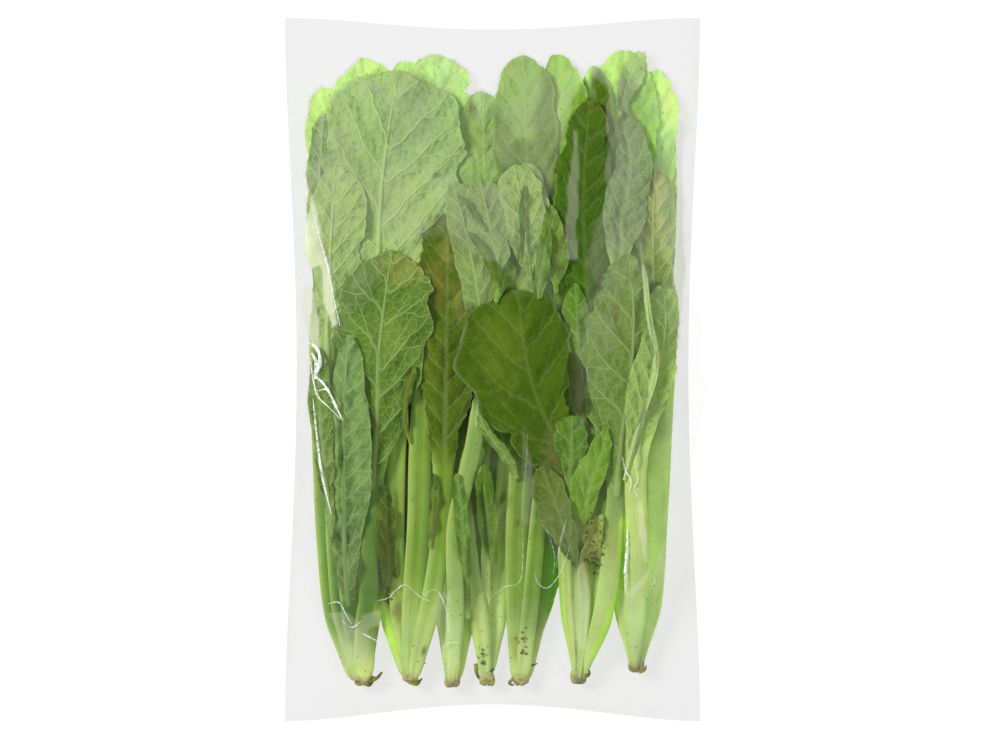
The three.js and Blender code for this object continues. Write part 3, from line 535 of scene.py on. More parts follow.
def lay_sheets():
    """The frame's own leaves, laid from the lowest to the topmost, then the scraps."""
    heap = HeightMap(CELL)
    mark_crowns(heap)
    so_far = dict.fromkeys(range(1, len(CROWNS) + 1), 0)
    sheets = []
    for number, entry in enumerate(LEAVES + SCRAPS):
        plant = entry["plant"]
        sheet = Sheet(entry, number)
        ground = heap.ground(plant)
        sheet.z += ground[heap.cells(sheet.x, sheet.y)] + GAP + sheet.below + sheet.rest
        if number < len(LEAVES):
            sheet.z[0] = CROWN_HEIGHT + LEAF_RISE * (so_far[plant] - LEAVES_BELOW)
        so_far[plant] += 1
        corners, weights = sample_points(sheet)
        x = (sheet.x.ravel()[corners] * weights).sum(1)
        y = (sheet.y.ravel()[corners] * weights).sum(1)
        settle(sheet, corners, weights, ground[heap.cells(x, y)])
        top = ((sheet.z + sheet.above).ravel()[corners] * weights).sum(1)
        heap.raise_to(x, y, top, plant)
        sheets.append(sheet)
    return sheets


# Fine leaves

MIDRIB_RISE, VEIN_RISE = 0.62, 0.6  # of a ridge, as shares of its half width
MIDRIB_HALVES = (2.5, 0.45)  # half widths of the raised midrib, at its foot and at its tip
SIDE_VEIN_HALVES = (0.85, 0.32)  # of a raised side vein, at the midrib and at the margin
BRANCH_HALF = 0.4
FULL_VEIN_REACH = 34  # half width of a blade with veins of full size
VEIN_SCALE = (0.62, 1.1)  # least and most, as shares of full size


def value_noise(x, y, size, seed):
    """Smooth noise from -1 to 1 over the plane, the same for the same seed."""
    u, v = x / size, y / size
    i, j = np.floor(u), np.floor(v)
    across, along = smooth(u - i), smooth(v - j)

    def lattice(a, b):
        """A number from -1 to 1 for each point of the lattice."""
        value = np.sin(a * 127.1 + b * 311.7 + seed * 74.7) * 43758.5453
        return 2 * (value - np.floor(value)) - 1

    near = lerp(lattice(i, j), lattice(i + 1, j), across)
    far = lerp(lattice(i, j + 1), lattice(i + 1, j + 1), across)
    return lerp(near, far, along)


def cubic_weights(count, at):
    """A matrix that reads count even values at the real indexes at, by Catmull-Rom."""
    low = np.clip(np.floor(at), 0, count - 2).astype(int)
    f = at - low
    shares = ((-f + 2 * f**2 - f**3) / 2, (2 - 5 * f**2 + 3 * f**3) / 2,
              (f + 4 * f**2 - 3 * f**3) / 2, (f**3 - f**2) / 2)
    padded = np.zeros((len(at), count + 2))
    for offset, share in enumerate(shares):
        padded[np.arange(len(at)), low + offset] += share
    weights = padded[:, 1:-1]
    weights[:, 0] += 2 * padded[:, 0]
    weights[:, 1] -= padded[:, 0]
    weights[:, -1] += 2 * padded[:, -1]
    weights[:, -2] -= padded[:, -1]
    return weights


def gentle_max(lift, rounds):
    """Spreads a grid's lifts to their neighbours, never below what each point needs."""
    gentle = lift
    for _ in range(rounds):
        gentle = np.maximum(lift, around(np.pad(gentle, 1, mode="edge")) / 4)
    return gentle


class FineLeaf:
    """A leaf rebuilt finely on its sheet. Arrays are grids of rows from crown to tip."""

    def __init__(self, entry, number, sheet):
        self.entry, self.number, self.sheet = entry, number, sheet
        self.under = entry["under"]
        self.row = self.fine_rows()
        share, self.blade = ring_place(self.row, sheet.blade_start)
        self.fullness = smooth(self.blade * BLADE_ONSET)[:, None]
        self.reach = sheet.half.max()
        columns = int(np.clip(2 * self.reach / COLUMN_STEP, FEWEST_COLUMNS, MOST_COLUMNS))
        even = np.linspace(-1, 1, columns // 2 * 2 + 1)
        self.across = even * (1 + CROWDING - CROWDING * even**2)
        self.along = ((share - sheet.blade_start) * sheet.midrib.length)[:, None]
        self.place_outline(share)
        self.wide = self.across * self.half
        self.set_vein_phases()
        rows_read = cubic_weights(sheet.z.shape[0], self.row)
        columns_read = cubic_weights(len(ACROSS), (self.across + 1) * 2)
        self.z = rows_read @ sheet.z @ columns_read.T
        self.set_thickness()
        self.add_relief()

    def fine_rows(self):
        """Rows at even steps between the sheet's rings, as real ring numbers."""
        rings = np.arange(STALK_RINGS + BLADE_RINGS, dtype=float)
        share, _ = ring_place(rings, self.sheet.blade_start)
        rows = []
        for ring, length in enumerate(np.diff(share) * self.sheet.midrib.length):
            step = STALK_STEP if ring < STALK_RINGS else ROW_STEP
            count = max(2, int(round(length / step)))
            rows.extend(ring + np.arange(count) / count)
        return np.array([*rows, rings[-1]])

    def place_outline(self, share):
        """Sets the plan of the leaf: its narrowed foot, its rounded tip and its teeth."""
        sheet, across = self.sheet, self.across
        centre, ahead = sheet.midrib.at(share), sheet.midrib.ahead(share)
        read = cubic_weights(len(sheet.half), self.row)
        left, right = read @ sheet.half[:, 0], read @ sheet.half[:, -1]
        from_foot = share * sheet.midrib.length
        rooted = self.number < len(LEAVES)
        self.foot = rooted * (1 - smooth(from_foot / FOOT_LENGTH)[:, None])
        self.half = np.where(across < 0, left[:, None], right[:, None])
        self.half = self.half * (1 - FOOT_NARROWINGS[self.entry["plant"] - 1] * self.foot)
        rounding = np.clip(from_foot / FOOT_ROUNDING, 0, 1)
        self.half *= 1 - 0.5 * rooted * ((1 - rounding) ** 2)[:, None]
        crown_x = CROWNS[self.entry["plant"] - 1][0]
        centre[:, :1] += FOOT_GATHER * self.foot * (crown_x - centre[:, :1])
        uneven = 1 + 0.3 * np.sin(5 * self.number)
        centre[:, 1] -= rooted * FOOT_REACH * uneven * (1 - smooth(from_foot / (2 * CROWN_LENGTH)))
        self.x = centre[:, :1] + ahead[:, 1:] * self.half * across
        self.y = centre[:, 1:] - ahead[:, :1] * self.half * across
        near_tip = smooth((self.blade[:, None] - TIP_START) / (1 - TIP_START))
        tip = near_tip * (1 - across**2) * left[-1] * TIP_BULGE
        tip *= 1 - 0.35 * smooth(0.5 + value_noise(across * 2.6, self.number, 1, 8))
        self.x += ahead[:, :1] * tip
        self.y += ahead[:, 1:] * tip
        self.y[:2] += 0.9 * value_noise(across * 3, self.number, 1, 4)
        for edge, outwards in ((0, -1), (-1, 1)):
            self.cut_teeth(edge, outwards)

    def cut_teeth(self, edge, outwards):
        """Moves one margin in and out as teeth, and draws the blade along with it."""
        x, y = self.x[:, edge].copy(), self.y[:, edge].copy()
        length = np.concatenate([[0], np.cumsum(np.hypot(np.diff(x), np.diff(y)))])
        ahead = np.stack([np.gradient(x), np.gradient(y)], 1)
        ahead /= np.linalg.norm(ahead, axis=1)[:, None] + 1e-9
        seed = self.number * 2 + (edge == 0)
        wobble = value_noise(length, length * 0, 14, seed)
        phase = (length / TOOTH_LENGTH + 0.5 * wobble) % 1
        tooth = np.where(phase < TOOTH_RISE, phase / TOOTH_RISE, (1 - phase) / (1 - TOOTH_RISE)) - 0.5
        coarse = value_noise(length, length * 0 + 9, 9, seed)
        # Narrow leaves have smaller teeth, and every margin has rough and even stretches
        size = min(LARGEST_TEETH, self.reach / FULL_TEETH_REACH) * self.fullness[:, 0]
        rough = 0.25 + 0.9 * smooth(0.5 + value_noise(length, length * 0, 32, seed + 3))
        move = TOOTH_DEPTH * size * (tooth * rough * (1 + 0.5 * wobble) + 0.9 * coarse)
        move -= NOTCH_DEPTH * size * smooth(value_noise(length, length * 0 + 2, 19, seed + 7))
        # Tears are rare, so only the peaks of their noise count
        tear = smooth((value_noise(length, length * 0 + 5, 8, seed + 5) - 0.62) / 0.3)
        move -= TEAR_DEPTH * size * tear * (self.blade < 0.9)
        # The blade follows its margin less and less towards the midrib
        pull = np.abs(self.across) ** 4 * (self.across * outwards > 0)
        self.x += (move * ahead[:, 1] * outwards)[:, None] * pull
        self.y -= (move * ahead[:, 0] * outwards)[:, None] * pull

    def set_vein_phases(self):
        """Vein lines run where a phase is a whole number and a half: the laterals that leave
        the midrib, then the branches to the margin, then those that close the net."""
        reach = self.reach
        self.spacing = np.clip(SPACING_SHARE * reach, *VEIN_SPACING)
        out = np.abs(self.wide)
        near = np.minimum(1, out / 1.5)
        side = 0.25 * np.sign(self.wide) * near
        warp = 0.22 * value_noise(self.along, self.wide, 1.1 * self.spacing, self.number)
        warp += 0.06 * near * value_noise(self.along, self.wide, 4.5, self.number + 20)
        shift = side + warp + 0.3 * value_noise(self.along, self.number, 2.2 * self.spacing, 6)

        def rise(w):
            """How far up the leaf a vein has run, this far out from the midrib."""
            return VEIN_SLANT * w + VEIN_BEND * w**2 / reach

        to_margin, to_next = (rise(start * reach) + slant * (out - start * reach) for start, slant
                              in ((BRANCH_START, BRANCH_SLANT), (NET_START, NET_SLANT)))
        self.phases = [(self.along - reached) / self.spacing + shift
                       for reached in (rise(out), to_margin, to_next)]

    def set_thickness(self):
        """Sets how far the faces lie above and below the middle of the leaf."""
        girth = self.entry["stalk"] / STALK_WIDTH
        across = self.across
        round_side = np.maximum(0, 1 - across**2) ** 0.55
        groove = GROOVE_DEPTH * np.exp(-((across / GROOVE_WIDTH) ** 2))
        ribs = STALK_RIBS * np.cos(across * STALK_RIB_TURN) * (1 - across**2)
        top = girth * (STALK_TOP * round_side - (not self.under) * groove + ribs)
        bottom = girth * (STALK_BOTTOM * round_side - self.under * groove)
        midrib = MIDRIB_DEPTH * (1 - self.blade[:, None]) * np.exp(-((self.wide / MIDRIB_WIDTH) ** 2))
        skin = THICKNESS * (1 - 0.4 * across**2)
        slim = 1 - 0.35 * self.foot
        self.above = slim * lerp(np.maximum(0.05, top), skin, self.fullness)
        self.below = slim * lerp(np.maximum(0.05, bottom), skin + (0 if self.under else midrib),
                                 self.fullness)

    def add_relief(self):
        """Quilting between the veins, waves near the margin, and a slight unevenness."""
        across, length = np.abs(self.across), self.along
        quilt = np.cos(2 * np.pi * self.phases[0]) * smooth(np.abs(self.wide) / 5)
        quilt *= (1 - 0.5 * across**3) * QUILT * self.spacing  # lower near the margin
        wave_seed = self.number + 40 * (self.across < 0)
        wave = value_noise(length, wave_seed * 7.0, 13, 5) * across**3 * WAVE
        uneven = UNEVEN * value_noise(self.x, self.y, 17, self.number)
        uneven += FINELY_UNEVEN * value_noise(self.x, self.y, 5.5, self.number + 50)
        fold = 1 - np.abs(value_noise(self.x + 0.3 * self.y, 0.5 * self.y, 15, self.number + 60))
        uneven += FOLD * fold**5 * (0.6 + 0.4 * np.sin(2.3 * self.number))
        uneven = uneven * CRUMPLED.get(self.number, 1)
        sunk = -1 if self.under else 1
        self.z += self.fullness * (sunk * quilt + wave + uneven * smooth(np.abs(self.wide) / 3))

    def lay(self, heap):
        """Lifts the leaf clear of the leaves below it, and marks it on the heap."""
        plant = self.entry["plant"]
        cells = heap.cells(self.x, self.y)
        need = heap.ground(plant)[cells] + FINE_GAP + self.below - self.z
        self.z += gentle_max(np.maximum(0, need), SPREAD_ROUNDS)
        self.finish_faces()
        x, y, z = (between(v) for v in (self.x, self.y, self.top))
        heap.raise_to(x, y, z, plant)
        heap.count_layer(x, y)
        for ridge in self.ridges:
            crest = ridge["points"] + ridge["height"][:, None] * (0, 0, 1)
            heap.raise_to(*crest.T, plant)

    def lay_lowest(self):
        """Lays the leaf flat on the lower film, under all that the heap holds."""
        self.z = np.full_like(self.x, FILM + LOWEST_RISE)
        self.above = self.below = np.full_like(self.x, THICKNESS)
        self.finish_faces()

    def finish_faces(self):
        """Sets the heights of both faces, and the raised veins of an underside."""
        self.top = self.z + self.above
        self.bottom = self.z - self.below
        self.ridges = self.vein_ridges() if self.under else []

    def surface_at(self, row, column):
        """Points of the upper face at real row and column indexes."""
        return np.stack([read_grid(grid, row, column) for grid in (self.x, self.y, self.top)], 1)

    def vein_ridges(self):
        """The raised veins of an underside: paths with a half width and a height."""
        first = int(np.searchsorted(self.row, STALK_RINGS)) - 1
        middle = len(self.across) // 2
        rows = np.arange(first, len(self.row) - 1, dtype=float)
        t = (rows - first) / (len(rows) - 1)
        girth = self.entry["stalk"] / STALK_WIDTH
        at_foot, at_tip = MIDRIB_HALVES
        half = lerp(at_foot * girth, at_tip, t**0.6) * (1 - 0.6 * smooth((t - 0.85) / 0.15))
        half[0] = 1.6 * girth
        ridges = [self.ridge(rows, rows * 0 + middle, half, MIDRIB_RISE)]
        sizes = (lerp(*SIDE_VEIN_HALVES, np.abs(self.across)), np.full(self.across.shape, BRANCH_HALF))
        scale = np.clip(self.reach / FULL_VEIN_REACH, *VEIN_SCALE)
        for phase, start, size in zip(self.phases, (0, BRANCH_START), sizes):
            for direction in (-1, 1):
                columns = middle + direction * np.arange(0, middle)
                out = np.abs(self.wide[:, columns]).max(0) / self.reach
                columns = columns[(out >= start) & (out <= 1)]
                if len(columns) < 3:
                    continue
                for line in np.arange(np.floor(phase[first].min()), phase.max()) + 0.5:
                    ridges.extend(self.trace(phase, line, columns, first, size * scale))
        return ridges

    def trace(self, phase, line, columns, first, size):
        """Follows one vein line across these columns, as a list with one ridge or none."""
        index = np.arange(len(self.row), dtype=float)
        rows = np.array([np.interp(line, phase[:, c], index) for c in columns])
        inside = (rows > first + 1) & (rows < len(self.row) - 2.5)
        if inside.sum() < 3:
            return []
        run = np.flatnonzero(inside)
        run = run[: np.argmax(np.diff(np.append(run, run[-1] + 9)) > 1) + 1]
        if len(run) < 3:
            return []
        half = size[columns[run]].copy()
        half[-1] *= 0.3
        return [self.ridge(rows[run], columns[run].astype(float), half, VEIN_RISE)]

    def ridge(self, rows, columns, half, rise):
        return {"points": self.surface_at(rows, columns), "half": half, "height": half * rise,
                "rows": rows, "columns": columns}


def between(grid):
    """A grid's values, with those half way between its neighbours."""
    rows = (grid[1:] + grid[:-1]) / 2
    columns = (grid[:, 1:] + grid[:, :-1]) / 2
    centres = (rows[:, 1:] + rows[:, :-1]) / 2
    return np.concatenate([part.ravel() for part in (grid, rows, columns, centres)])


# Colours, in sRGB as seen under white light

PALETTE = {
    "shade": (52, 88, 10),
    "backlit": (204, 252, 134),
    "lime": (172, 226, 84),
    "pale_under": (200, 218, 158),
    "under": (178, 208, 125),
    "fresh_under": (106, 142, 46),
    "blue_green": (138, 172, 92),
    "grey_green": (140, 166, 110),
    "pale": (166, 200, 104),
    "pale_grey": (142, 170, 96),
    "soft": (124, 156, 62),
    "mid": (104, 148, 36),
    "bright": (130, 176, 44),
    "yellowish": (152, 176, 62),
    "olive": (94, 118, 16),
    "deep_olive": (80, 118, 10),
    "deep": (84, 116, 6),
    "withered": (168, 178, 84),
    # painted shadow, for a dark scrap in a gap between leaves
    "gap_shadow": (64, 78, 22),
    "russet": (108, 130, 50),
}
# How clearly the veins show, where that isn't 1
FAINT_VEINS = {"deep": 0.3, "deep_olive": 0.3, "shade": 0.4, "olive": 0.45, "lime": 0.5,
               "backlit": 0.6, "mid": 0.7, "bright": 0.7, "blue_green": 0.5, "withered": 0.7,
               "soft": 0.6, "gap_shadow": 0.0, "russet": 0.4, "pale_grey": 0.6, "pale": 0.8, "fresh_under": 0.7}
LIT = (220, 255, 160)  # a single layer with light behind it
LIT_STALK = (226, 250, 162)
LIME = (214, 255, 108)
VIVID = (140, 216, 40)
# pale stalk edges, with a painted highlight along the left one
STALK_EDGE_AND_HIGHLIGHT = (200, 220, 130)
HOLE = (72, 92, 44)
STALKS = ((106, 150, 62), (144, 180, 60), (166, 198, 104), (140, 168, 64), (136, 168, 68),
          (150, 180, 92), (188, 214, 138))  # for each plant
STALK_FOOT = (222, 238, 160)
CROWN_SKIN = (208, 212, 148)
PALE_FOOT_LENGTHS = (34, 70, 90, 150, 50, 140, 290)  # for each plant, how far its foot is pale
VEIN = (216, 236, 162)
RIM = (230, 248, 184)
CUT_END = (196, 184, 132)
BARK = (118, 92, 56)
YELLOWED = (176, 176, 84)
BROWN = (112, 92, 40)
# painted shade, light and a highlight along the fold of leaf 32
FOLD_SHADE = (60, 100, 42)
FOLD_LIGHT = (160, 190, 118)
FOLD_GLEAM = (150, 182, 108)
TAN = (140, 122, 52)

# Discoloured places, and painted shade and highlights along the fold of leaf 32: leaf number, middle, radii,
# colour and strength
MARKS = (
    (29, (-52, 62), (12, 9), YELLOWED, 0.55),
    (29, (-60, 20), (8, 12), YELLOWED, 0.2),
    (21, (-64, 60), (4, 8), YELLOWED, 0.3),
    (25, (98, 104), (7, 16), YELLOWED, 0.75),
    (23, (57, 158), (8, 3), BROWN, 0.4),
    (34, (28, 50), (4, 5), YELLOWED, 0.5),
    (14, (-12, 156), (2, 3), BROWN, 0.5),
    (27, (-26, 70), (6, 8), YELLOWED, 0.4),
    (30, (73, 34), (2, 5), BROWN, 0.55),
    (35, (58, -92), (8, 14), YELLOWED, 0.5),
    (36, (58, -108), (7, 14), YELLOWED, 0.8),
    (36, (56, -112), (3, 5), BROWN, 0.5),
    (16, (5.7, -78), (1.6, 2.2), BROWN, 0.8),
    (18, (15, -92), (1.3, 1.3), BROWN, 0.9),
    (18, (16, -166), (4, 9), YELLOWED, 0.8),
    (18, (18, -162), (1.6, 2.4), BROWN, 0.8),
    (44, (60, -104), (3, 5), BROWN, 0.25),
    (32, (-84, -112), (9, 34), (56, 96, 44), 0.55),
    (32, (-87, -62), (3.5, 42), FOLD_SHADE, 0.6),
    (32, (-98, -34), (3.5, 30), FOLD_LIGHT, 0.4),
    (32, (-80, -40), (3, 24), FOLD_GLEAM, 0.3),
    (27, (-41, -168), (1.3, 1.3), BROWN, 0.9),
    (6, (-56, -145), (4, 5), BROWN, 0.6),
    (34, (49, -168), (1.5, 5), BROWN, 0.6),
    (34, (37, -70), (9, 24), (134, 136, 74), 0.6),
    (34, (6, 14), (12, 26), (120, 148, 34), 0.5),
    (27, (-33, 52), (4, 14), TAN, 0.5),
    (27, (-18, 38), (6, 12), YELLOWED, 0.45),
    (27, (-22, 84), (6, 6), TAN, 0.5),
    (21, (-33, 116), (3, 1.2), HOLE, 0.9),
    (21, (-84, 112), (1, 0.7), HOLE, 0.8),
    (21, (-74, 84), (2, 0.8), HOLE, 0.8),
    (13, (-10, 152), (0.8, 2.6), HOLE, 0.8),
    (26, (90, 150), (3, 1), HOLE, 0.5),
)

LIT_BLUR = 3  # rounds of softening for the map of what is lit from below
# Where light from below comes through a single layer: middle, radii and strength
LIT_PLACES = (
    ((-110, 130), (14, 70), 1.0),
    ((110, 60), (14, 150), 0.8),
    ((-58, 190), (64, 60), 1.0),
    ((22, 190), (30, 60), 0.4),
    ((92, 190), (44, 72), 1.0),
)
# and where it comes through all that lies there: path, half width, colour and strength
BRIGHT_PLACES = (
    (((34, -108), (36, -128), (37, -146)), 4.5, VIVID, 0.8),
    (((43, -158), (43, -140)), 4, LIME, 0.35),
    (((-67, -144), (-59, -168)), 4, LIME, 0.75),
    (((78, -90), (77, -128), (70, -150), (61, -172)), 3, LIME, 0.9),
    (((99, -50), (101, -100), (98, -136), (93, -156)), 10, LIT_STALK, 1.0),
    (((-46, 184), (-30, 184)), 8, LIT, 0.7),
    (((86, 184), (100, 158)), 9, LIT, 0.6),
)


def to_linear(colour):
    """A colour from 0 to 255 in sRGB, as linear shares."""
    share = np.array(colour, float) / 255
    return np.where(share <= 0.04045, share / 12.92, ((share + 0.055) / 1.055) ** 2.4)


LIT_SHARE, LIT_STALK_SHARE = 0.85, 0.8  # how far light from below changes a blade, a stalk
GREENED_SHARE, GREENED_FROM, GREENED_LENGTH = 0.4, 40, 120  # a stalk's change to its blade's colour
EDGE_AND_HIGHLIGHT_SHARES = (0.8, 0.3)  # how pale the left and the right edge of a stalk are: both are pale, and the left one is paler still as a painted highlight of the light from the left
RIM_START, RIM_SHARE, LIT_RIM_SHARE = 0.94, 0.2, 0.4  # the pale line along a blade's margin
# The cut end: colour, how far up it reaches, over what length it fades, and its strength
END_SKINS = ((CUT_END, 8, 5, 0.8), (BARK, 3.2, 1.4, 0.75))
# Clouds of lighter and darker skin: size, strength and seed
CLOUDS = ((7, 0.07, 91), (2.6, 0.05, 92))
BROAD_CLOUD, WARM_CLOUD = 21, 26  # sizes of those that differ from leaf to leaf
WARMTH = 0.06 * np.array([1.5, 0.3, -1])


def clean_skin(leaf, lit):
    """The colour of a clean leaf, from its pale foot over its stalk to its blade, with painted light from
    below and a painted highlight on the left edge of its stalk.
    """
    plant = leaf.entry["plant"]
    from_crown = (leaf.y - CROWNS[plant - 1][1])[..., None]
    blade = lerp(to_linear(PALETTE[leaf.entry["tint"]]), to_linear(LIT), LIT_SHARE * lit)
    faded = smooth(from_crown / PALE_FOOT_LENGTHS[plant - 1])
    stalk = lerp(to_linear(STALK_FOOT), to_linear(STALKS[plant - 1]), faded)
    stalk = lerp(stalk, blade, GREENED_SHARE * smooth((from_crown - GREENED_FROM) / GREENED_LENGTH))
    # pale stalk edges; the left one is paler still as a painted highlight of the light from the left
    edge = np.where(leaf.across < 0, *EDGE_AND_HIGHLIGHT_SHARES) * np.abs(leaf.across) ** 2.5
    stalk = lerp(stalk, to_linear(STALK_EDGE_AND_HIGHLIGHT), edge[None, :, None])
    stalk = lerp(stalk, to_linear(LIT_STALK), LIT_STALK_SHARE * lit)
    return lerp(stalk, blade, leaf.fullness[..., None])


def uneven_skin(leaf, tint):
    """Clouds of lighter, darker, warmer and cooler skin."""
    clouds = value_noise(leaf.x, leaf.y, BROAD_CLOUD, leaf.number + 90) * 0.1
    for size, strength, seed in CLOUDS:
        clouds += value_noise(leaf.x, leaf.y, size, seed) * strength
    warm = value_noise(leaf.x, leaf.y, WARM_CLOUD, leaf.number + 93)
    return tint * (1 + clouds[..., None]) * (1 + warm[..., None] * WARMTH)


def paint(leaf, lit_map, heap):
    """A colour for each point of a leaf, linear."""
    x, y = leaf.x, leaf.y
    lit = lit_map[heap.cells(x, y)][..., None]
    tint = clean_skin(leaf, lit)
    for path, half, colour, strength in BRIGHT_PLACES:
        share = strength * smooth(1.4 - away_from(x, y, path) / half)
        tint = lerp(tint, to_linear(colour), share[..., None])
    rim = smooth((np.abs(leaf.across) - RIM_START) / (1 - RIM_START)) * leaf.fullness
    tint = lerp(tint, to_linear(RIM), (RIM_SHARE + LIT_RIM_SHARE * lit) * rim[..., None])
    end = y - CROWNS[leaf.entry["plant"] - 1][1] + CROWN_LENGTH / 2
    end = end + 1.2 * value_noise(x, y, 2.5, leaf.number)
    for colour, reach, length, strength in END_SKINS:
        tint = lerp(tint, to_linear(colour), strength * smooth((reach - end) / length)[..., None])
    tint = uneven_skin(leaf, tint)
    for number, middle, radii, colour, strength in MARKS:
        if number == leaf.number:
            away = np.hypot((x - middle[0]) / radii[0], (y - middle[1]) / radii[1])
            away = away + 0.5 * value_noise(x, y, 3.5, number)
            share = strength * smooth(1.6 - away)[..., None]
            tint = lerp(tint, to_linear(colour), share)
    return np.clip(tint, 0, 1)


class MeshBuilder:
    """Collects blocks of points and faces, and makes one object of them."""

    def __init__(self):
        self.points, self.faces, self.values = [], [], {}
        self.count = 0

    def add(self, points, faces, **values):
        """Adds points, in millimetres, with faces that count from the block's first point."""
        self.points.append(points)
        self.faces.extend(np.asarray(block) + self.count for block in faces)
        for name, value in values.items():
            self.values.setdefault(name, []).append(value)
        self.count += len(points)

    def build(self, name, material, sharp=True):
        """One object of all that was added, with its values as attributes."""
        mesh = bpy.data.meshes.new(name)
        totals = np.concatenate([np.full(len(f), f.shape[1]) for f in self.faces])
        corners = np.concatenate([f.ravel() for f in self.faces])
        mesh.vertices.add(self.count)
        mesh.vertices.foreach_set("co", (np.concatenate(self.points) * METRE).ravel())
        mesh.loops.add(len(corners))
        mesh.loops.foreach_set("vertex_index", corners)
        mesh.polygons.add(len(totals))
        mesh.polygons.foreach_set("loop_start", np.cumsum(totals) - totals)
        mesh.polygons.foreach_set("loop_total", totals)
        mesh.update(calc_edges=True)
        for key, blocks in self.values.items():
            self.set_attribute(mesh, key, np.concatenate(blocks))
        mesh.shade_smooth()
        if sharp:
            mesh.set_sharp_from_angle(angle=SHARP_ANGLE)
        mesh.validate()
        mesh.materials.append(material)
        piece = bpy.data.objects.new(name, mesh)
        bpy.context.scene.collection.objects.link(piece)
        return piece

    @staticmethod
    def set_attribute(mesh, key, values):
        """Stores a number, a colour or a vector for each point."""
        if values.ndim == 1:
            mesh.attributes.new(key, "FLOAT", "POINT").data.foreach_set("value", values)
        elif key == "tint":
            rgba = np.hstack([values, np.ones((len(values), 1))])
            layer = mesh.attributes.new(key, "FLOAT_COLOR", "POINT")
            layer.data.foreach_set("color", rgba.ravel())
        else:
            layer = mesh.attributes.new(key, "FLOAT_VECTOR", "POINT")
            layer.data.foreach_set("vector", values.ravel())


def unpatterned(count, fullness):
    """What the leaf material reads on a skin that has no veins and no net."""
    flat = np.zeros((count, 3))
    return {"leaf_map": flat, "vein_phase": flat, "leaf_look": flat + (fullness, 1, 0),
            "veined": flat[:, 0]}


def grid_quads(rows, columns):
    """The faces of a grid, counter-clockwise seen from above."""
    a = (np.arange(rows - 1)[:, None] * columns + np.arange(columns - 1)).ravel()
    return np.stack([a, a + 1, a + columns + 1, a + columns], 1)


def grid_rim(rows, columns):
    """The points round a grid, counter-clockwise seen from above."""
    index = np.arange(rows * columns).reshape(rows, columns)
    return np.concatenate([index[0, :-1], index[:-1, -1], index[-1, :0:-1], index[:0:-1, 0]])


def wall_quads(rim, count):
    """The faces between a rim and the same rim among the points that follow."""
    ahead = np.roll(rim, -1)
    return np.stack([rim, rim + count, ahead + count, ahead], 1)


def add_leaf(builder, leaf, tint):
    """The closed skin of a leaf, and its raised veins."""
    shape, count = leaf.x.shape, leaf.x.size

    def points(*grids):
        """Three grids, or a value for one, as rows of three numbers."""
        return np.stack([np.broadcast_to(grid, shape) for grid in grids], -1).reshape(-1, 3)

    top, bottom = (points(leaf.x, leaf.y, z) for z in (leaf.top, leaf.bottom))
    quads = grid_quads(*shape)
    faces = [quads, quads[:, ::-1] + count, wall_quads(grid_rim(*shape), count)]
    leaf_map = points(leaf.along, leaf.wide, leaf.blade[:, None])
    phase = points(*leaf.phases)
    look, look_below = (points(leaf.fullness, float(under), leaf.reach)
                        for under in (leaf.under, not leaf.under))
    veined = FAINT_VEINS.get(leaf.entry["tint"], 1.0)
    skin = tint.reshape(-1, 3)
    builder.add(np.vstack([top, bottom]), faces, tint=np.vstack([skin, skin]),
                leaf_map=np.vstack([leaf_map, leaf_map]), vein_phase=np.vstack([phase, phase]),
                leaf_look=np.vstack([look, look_below]), veined=np.full(count * 2, veined))
    for ridge in leaf.ridges:
        near = tint[ridge["rows"].astype(int), ridge["columns"].astype(int)]
        colour = lerp(near, to_linear(VEIN), 0.5 * veined)
        add_tube(builder, ridge["points"], ridge["half"], ridge["height"] * (0.4 + 0.6 * veined), colour)


# Half of an upright oval, as places across and up
TUBE_SECTION = ((-1, -0.25), (-0.75, 0.6), (0, 1), (0.75, 0.6), (1, -0.25))


def add_tube(builder, points, half, height, colour):
    """A low half-round ridge along these points, closed at both ends."""
    ahead = np.gradient(points, axis=0)
    side = np.stack([ahead[:, 1], -ahead[:, 0], ahead[:, 0] * 0], 1)
    side /= np.linalg.norm(side, axis=1)[:, None] + 1e-9
    up = np.cross(side, ahead)
    up /= np.linalg.norm(up, axis=1)[:, None] + 1e-9
    size = len(TUBE_SECTION)
    ring = [points + side * (half * a)[:, None] + up * (height * b)[:, None] for a, b in TUBE_SECTION]
    skin = np.stack(ring, 1).reshape(-1, 3)
    first = np.arange(len(points) - 1) * size
    quads = [np.stack([first + k, first + (k + 1) % size, first + size + (k + 1) % size,
                       first + size + k], 1) for k in range(size)]
    last = (len(points) - 1) * size
    caps = [np.arange(size)[None, ::-1], (last + np.arange(size))[None, :]]
    builder.add(skin, [np.concatenate(quads), *caps], tint=np.repeat(colour, size, 0),
                **unpatterned(len(skin), 0.6))


CROWN_AROUND = 36
CROWN_CORE = 4.8  # the widest radius of the knob
CORE_DROP = 1.0  # of its axis, below the middle of the feet
# The bulges of the leaf bases round the knob: how many, how high, and their turn from one
# plant to the next
LEAF_BASES = ((3, 0.07, 1), (7, 0.05, 2))
SOILED = 0.7  # how far the cut face is browned by soil
# Share of the crown's length and of its radius, from the leaves to the cut face
CROWN_PROFILE = ((0.3, 0.1), (0.32, 0.35), (0.4, 0.6), (0.5, 0.8), (0.6, 0.94), (0.72, 0.99),
                 (0.82, 0.96), (0.88, 0.88), (0.92, 0.76), (0.95, 0.6), (0.96, 0.4), (0.95, 0.15))


